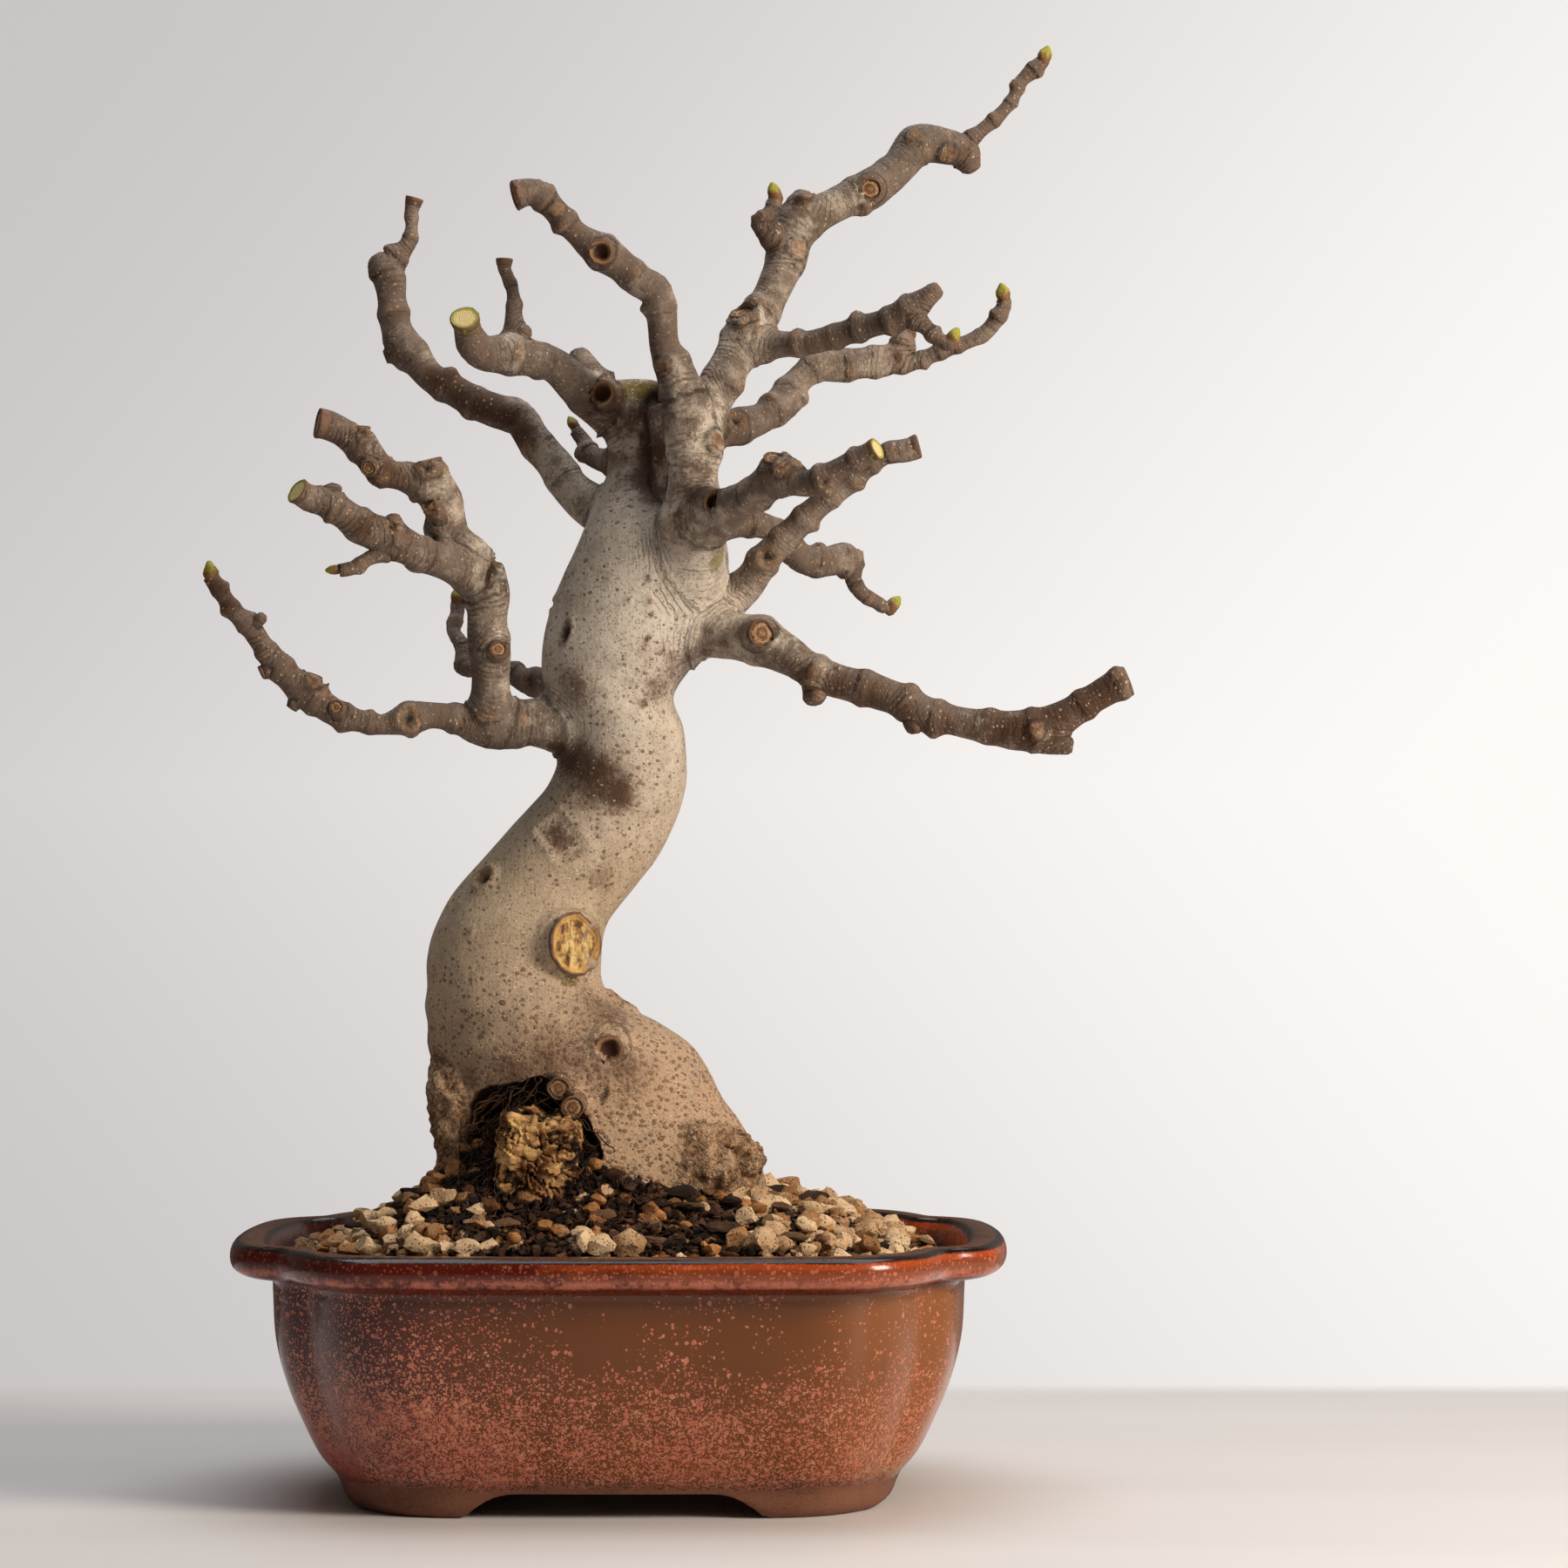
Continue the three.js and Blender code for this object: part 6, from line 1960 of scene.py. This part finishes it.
@dataclass
class Grains:
    """Loose grains that lie on the bed and on each other, dropped one by one."""

    bed: Bed
    trunk: Callable[[float, float], bool]
    seed: int = 731
    tries: int = 14
    room: int = 8000
    batch_points: int = 4000
    count: int = 0

    def __post_init__(self) -> None:
        """Makes room for the grains' places and radii."""
        self.settled = np.zeros((self.room, 4))

    def resting_height(self, x: float, y: float, radius: float) -> float:
        """Where a grain dropped at a place comes to rest.

        Args:
            x: Millimetres to the right.
            y: Millimetres to the back.
            radius: The grain's.

        Returns:
            The height of its middle.
        """
        rest = self.bed.height(x, y) + 0.35 * radius
        known = self.settled[:self.count]
        gap = np.hypot(known[:, 0] - x, known[:, 1] - y)
        touch = 0.82 * (known[:, 3] + radius)
        under = gap < touch
        if under.any():
            rise = 0.75 * np.sqrt(touch[under] ** 2 - gap[under] ** 2)
            rest = max(rest, float((known[under, 2] + rise).max()))
        return rest

    def dropped(self, kind: GrainKind) -> list[tuple[Vector, float]]:
        """Drops the grains of one kind.

        Args:
            kind: The kind.

        Returns:
            Middles in metres with radii in millimetres.
        """
        draw = random.Random(f"{self.seed} {kind.name}")
        found: list[tuple[Vector, float]] = []
        for _ in range(kind.number * self.tries):
            if len(found) >= kind.number:
                break
            radius = kind.radius[0] + (kind.radius[1] - kind.radius[0]) * draw.random() ** 1.5
            x = (2 * draw.random() - 1) * self.bed.half_length
            y = (2 * draw.random() - 1) * self.bed.half_length * 0.8
            share = self.bed.outward(x, y)
            if share > 1.0 - radius / 90 or self.trunk(x, y) or draw.random() > kind.crowding(x, y, share):
                continue
            z = self.resting_height(x, y, radius)
            if z - self.bed.height(x, y) > kind.layers * radius:
                continue
            self.settled[self.count] = (x, y, z, radius)
            self.count += 1
            found.append((place(x, y, z), radius))
        return found

    def mesh(self, kind: GrainKind) -> bpy.types.Mesh:
        """Builds every grain of one kind.

        Args:
            kind: The kind.

        Returns:
            Their mesh, with a tone for each grain.
        """
        draw = random.Random(f"{self.seed} shape {kind.name}")
        batch = bmesh.new()
        batches = [batch]
        made = bmesh.ops.create_icosphere(batch, subdivisions=kind.divisions, radius=1.0)
        sphere = np.array([vert.co for vert in made["verts"]])
        batch.clear()
        tones: list[float] = []
        for middle, radius in self.dropped(kind):
            turn = Matrix.Rotation(draw.random() * math.tau, 4, "Z") @ Matrix.Rotation(
                (draw.random() - 0.5) * kind.tilt, 4, "X")
            size = [radius * MM * part * (0.8 + 0.45 * draw.random()) for part in kind.proportions]
            where = Matrix.Translation(middle) @ turn @ Matrix.Diagonal((*size, 1.0))
            made = bmesh.ops.create_icosphere(batch, subdivisions=kind.divisions, radius=1.0)
            facing = np.array([[draw.gauss(0, 1) for _ in range(3)] for _ in range(kind.facets)])
            facing /= np.linalg.norm(facing, axis=1, keepdims=True)
            reach = np.array([0.62 + 0.34 * draw.random() for _ in range(kind.facets)])
            over = np.maximum(sphere @ facing.T / reach, 1.0).max(axis=1)
            shift = Vector((draw.random(), draw.random(), draw.random())) * 50
            for vert, spoke, cut in zip(made["verts"], sphere, over):
                spot = Vector(spoke)
                wave = noise.noise(spot * 1.1 + shift) + 0.6 * noise.noise(spot * 2.6 + shift)
                vert.co = where @ (spot * (1.12 / cut * (1.0 + kind.lumps * wave)))
            # The tone is lowered by the painted shade in the trunk's hollow.
            tone = draw.random() - self.bed.damp(*((middle - POT_MIDDLE).xy / MM))
            tones += [tone] * len(made["verts"])
            if len(batch.verts) > self.batch_points:
                batch = bmesh.new()
                batches.append(batch)
        mesh = to_mesh(merged(batches), kind.name)
        mesh.set_sharp_from_angle(angle=math.radians(kind.crease))
        set_attribute(mesh, "tone", np.array(tones))
        return mesh


def edge_pile(x: float, y: float, share: float) -> float:
    """How thickly pumice lies: in piles at both ends and along the rim, and sparse round the trunk."""
    ends = smoothstep(22, 54, abs(x + 4)) * (0.75 + 0.25 * smoothstep(0.4, 0.8, share))
    rim = smoothstep(0.72, 0.97, share)
    return float(max(0.13, ends * 0.95, rim * 0.5))


def near_trunk(x: float, y: float, share: float) -> float:
    """How thickly dark crumbs lie: all over, and thickest round the trunk."""
    return float(1.0 - 0.6 * smoothstep(0.5, 0.95, share))


def everywhere(x: float, y: float, share: float) -> float:
    """Evenly spread."""
    return 0.8


GRAINS = (
    GrainKind("pumice_grains", 900, (1.5, 4.0), (1.15, 0.95, 0.8), 0.44, 2, edge_pile, 1.9, 10),
    GrainKind("clay_grains", 420, (0.9, 2.7), (1.1, 1.0, 0.85), 0.3, 2, everywhere, 2.4),
    GrainKind("bark_chips", 110, (1.4, 4.0), (1.5, 0.75, 0.34), 0.4, 2, near_trunk, 1.9, 7, 25, 2.2),
    GrainKind("soil_crumbs", 5200, (0.45, 1.6), (1.15, 0.95, 0.8), 0.6, 1, near_trunk, 2.6, 4),
)


@dataclass(frozen=True)
class SoilFinish:
    """Colours of one kind of soil grain, with its pits and dust."""

    name: str
    pale: Colour
    dark: Colour
    pit: Colour
    pits: float
    relief: float

    def build(self) -> bpy.types.Material:
        """Makes the material."""
        g = Graph(self.name)
        here = g.coordinates()
        tone = g.attribute("tone")
        cloud = g.noise(here, 260.0, 4.0, 0.6)
        grit = g.noise(here, 1500.0, 4.0, 0.7)
        skin = g.mix(self.dark, self.pale, (tone * 0.8 + cloud * 0.7 - 0.15).step(0.2, 0.9))
        holes = g.cells(here, 900.0)
        pick, _, _ = g.parts(g.cells(here, 900.0, output="Color"))
        pit = holes.step(0.34, 0.16) * pick.step(1.0 - self.pits, 1.05 - self.pits)
        skin = g.mix(skin, self.pit, pit * 0.75)
        skin = g.mix(skin, self.pit, grit.step(0.55, 0.75) * 0.35)
        normal = g.bump(grit * 0.7 + cloud * 0.4 - pit * 0.8, self.relief, 0.8)
        return g.finish(Base_Color=skin, Roughness=0.82 + grit * 0.15, Normal=normal, Specular_IOR_Level=0.25)


SOIL_FINISHES = {
    "soil_bed": SoilFinish("soil bed", colour(70, 47, 31), colour(28, 18, 11), colour(16, 10, 6),
                           0.3, 0.0016),
    "pumice_grains": SoilFinish("pumice", colour(228, 194, 152), colour(158, 112, 72), colour(74, 46, 28),
                                0.75, 0.0017),
    "clay_grains": SoilFinish("fired clay grains", colour(172, 118, 70), colour(84, 54, 32),
                              colour(44, 28, 16),
                              0.4, 0.0008),
    "bark_chips": SoilFinish("bark chips", colour(104, 76, 54), colour(38, 27, 20), colour(20, 13, 9), 0.2,
                             0.0008),
    "soil_crumbs": SoilFinish("soil crumbs", colour(78, 53, 36), colour(24, 15, 10), colour(14, 9, 6), 0.3,
                              0.0006),
}


# The fittings under the soil


@dataclass(frozen=True)
class FittingFinish:
    """Moulded or drawn stuff with a fine lengthwise grain and dulled patches."""

    name: str
    tone: Colour
    worn: Colour
    stretch: tuple[float, float, float]
    metallic: float
    shine: float

    def build(self) -> bpy.types.Material:
        """Makes the material."""
        g = Graph(self.name)
        here = g.coordinates()
        grain = g.noise(g.scaled(here, self.stretch), 1.0, 4.0, 0.6)
        patch = g.noise(here, 180.0, 4.0, 0.6)
        skin = g.mix(self.tone, self.worn, (grain * 0.5 + patch * 0.6).step(0.45, 0.75))
        return g.finish(Base_Color=skin, Metallic=self.metallic, Roughness=self.shine + patch * 0.25,
                        Normal=g.bump(grain * 0.6 + patch * 0.4, 0.0003, 0.7))


SCREEN = FittingFinish("screen plastic", colour(30, 30, 30), colour(58, 54, 50), (900.0, 900.0, 900.0),
                       0.0, 0.45)
WIRE = FittingFinish("clip wire", colour(186, 184, 180), colour(120, 116, 110), (2400.0, 160.0, 2400.0),
                     1.0, 0.3)
FITTINGS = {
    "drain_screen_left": SCREEN, "drain_screen_right": SCREEN,
    "screen_clip_left": WIRE, "screen_clip_right": WIRE,
}


# The studio


@dataclass
class Studio:
    """A pale table that ends behind the pot, a pale backdrop, and soft light from the right and above."""

    table_back: float = 0.30
    table_reach: float = 1.6
    backdrop_left: Colour = colour(200, 196, 196)
    backdrop_right: Colour = colour(254, 250, 247)
    room: Colour = colour(150, 140, 132)
    key_place: tuple[float, float, float] = (0.98, -0.70, 0.66)
    key_size: float = 0.44
    key_watts: float = 18.5
    key_colour: Colour = (1.0, 0.90, 0.77)
    top_place: tuple[float, float, float] = (0.0, 0.18, 1.4)
    top_size: float = 1.3
    top_watts: float = 15.0
    top_colour: Colour = (0.95, 0.97, 1.0)

    def table_finish(self) -> bpy.types.Material:
        """A plain pale tabletop with faint long wipe marks."""
        g = Graph("tabletop")
        here = g.coordinates()
        soft = g.noise(g.scaled(here, (1.2, 9.0, 1.0)), 1.6, 4.0)
        tone = g.mix(colour(219, 215, 214), colour(229, 225, 224), soft)
        _, back, _ = g.parts(here)
        shown = back.step(self.table_back - 0.002, self.table_back - 0.04)
        return g.finish(Base_Color=tone, Roughness=0.42 + soft * 0.12, Alpha=shown)

    def table(self) -> None:
        """Lays the tabletop, whose back edge makes the picture's horizon."""
        reach = self.table_reach
        bm = bmesh.new()
        depth = reach + self.table_back
        middle = Matrix.Translation((0, self.table_back - depth / 2, 0))
        where = middle @ Matrix.Diagonal((reach, depth / 2, 1, 1))
        bmesh.ops.create_grid(bm, x_segments=1, y_segments=1, size=1.0, matrix=where)
        mesh = to_mesh(bm, "table")
        mesh.materials.append(self.table_finish())
        table = linked("table", mesh)

    def camera(self) -> None:
        """Stands the camera where the photograph was taken from."""
        eye = bpy.data.cameras.new("camera")
        eye.lens = EYE.lens_mm()
        eye.sensor_width = EYE.sensor_mm
        camera = linked("camera", eye)
        camera.location = place(EYE.x, EYE.y, EYE.z)
        camera.rotation_euler = (math.pi / 2, 0, 0)
        bpy.context.scene.camera = camera

    def lamp(self, name: str, where: Sequence[float], size: float, watts: float, tint: Colour) -> None:
        """Hangs a square soft light that faces the bonsai.

        Args:
            name: Its name.
            where: Its place in metres.
            size: Its side.
            watts: Its power.
            tint: Its colour.
        """
        light = bpy.data.lights.new(name, "AREA")
        light.size = size
        light.energy = watts
        light.color = tint
        lamp = linked(name, light)
        lamp.location = where
        lamp.rotation_euler = (Vector((0, 0, 0.2)) - lamp.location).to_track_quat("-Z", "Y").to_euler()

    def backdrop(self) -> None:
        """Sets the world: what is seen behind the table, and the dimmer room that lights the object."""
        world = bpy.data.worlds.new("studio")
        world.use_nodes = True
        world.node_tree.nodes.clear()
        g = Graph.over(world.node_tree)
        across, back, up = g.parts(g.node("ShaderNodeTexCoord", {}, {}, "Generated"))
        seen = g.mix(self.backdrop_left, self.backdrop_right, (across - abs(up) * 0.8).step(-0.27, 0.16))
        wall = back.step(0.55, 0.85) * (across + 0.1).step(0.0, 0.9) * 1.2
        glow = (across * 0.9 - back * 0.25).step(0.1, 1.0) * 0.35
        dim = g.mix((0.0, 0.0, 0.0), self.room, 0.26 + wall + glow)
        seen_light = g.node("ShaderNodeBackground", {}, {"Color": seen, "Strength": 1.0})
        room_light = g.node("ShaderNodeBackground", {}, {"Color": dim, "Strength": 1.0})
        by_eye = g.node("ShaderNodeLightPath", {}, {}, "Is Camera Ray")
        both = g.node("ShaderNodeMixShader", {}, {0: by_eye, 1: room_light, 2: seen_light})
        g.node("ShaderNodeOutputWorld", {}, {"Surface": both})
        bpy.context.scene.world = world

    def build(self) -> None:
        """Sets up the table, camera, lights and backdrop."""
        bpy.context.scene.view_settings.view_transform = "Standard"
        self.table()
        self.camera()
        self.lamp("key", self.key_place, self.key_size, self.key_watts, self.key_colour)
        self.lamp("top", self.top_place, self.top_size, self.top_watts, self.top_colour)
        self.backdrop()


def main() -> None:
    """Builds the bonsai and the studio around it."""
    logging.basicConfig(level=logging.INFO, format="%(message)s")
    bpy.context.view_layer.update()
    Studio().build()
    tree = Tree()
    bark = BarkFinish().build()
    show("tree_skin", tree.dressed(tree.fused(False)), bark, "tree")
    show("twig_skin", tree.dressed(tree.fused(True)), bark, "tree")
    show("cut_faces", tree.cut_faces(), CutFinish().build(), "tree")
    show("buds", tree.buds(), BudFinish().build(), "tree")
    show("root_wood", tree.root_wood(), ROOT_WOOD.build(), "tree")
    bed = Bed()
    show("root_fibres", tree.root_fibres(bed), ROOT_FIBRE.build(), "tree")
    show("pot_shell", Pot().mesh(), GlazeFinish().build(), "pot")
    show("soil_bed", bed.mesh(), SOIL_FINISHES["soil_bed"].build(), "soil")
    grains = Grains(bed, tree.covers)
    for kind in GRAINS:
        show(kind.name, grains.mesh(kind), SOIL_FINISHES[kind.name].build(), "soil")
    made = {finish.name: finish.build() for finish in (SCREEN, WIRE)}
    for name, finish in FITTINGS.items():
        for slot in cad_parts[name].material_slots:
            slot.material = made[finish.name]


if __name__ == "__main__":
    main()
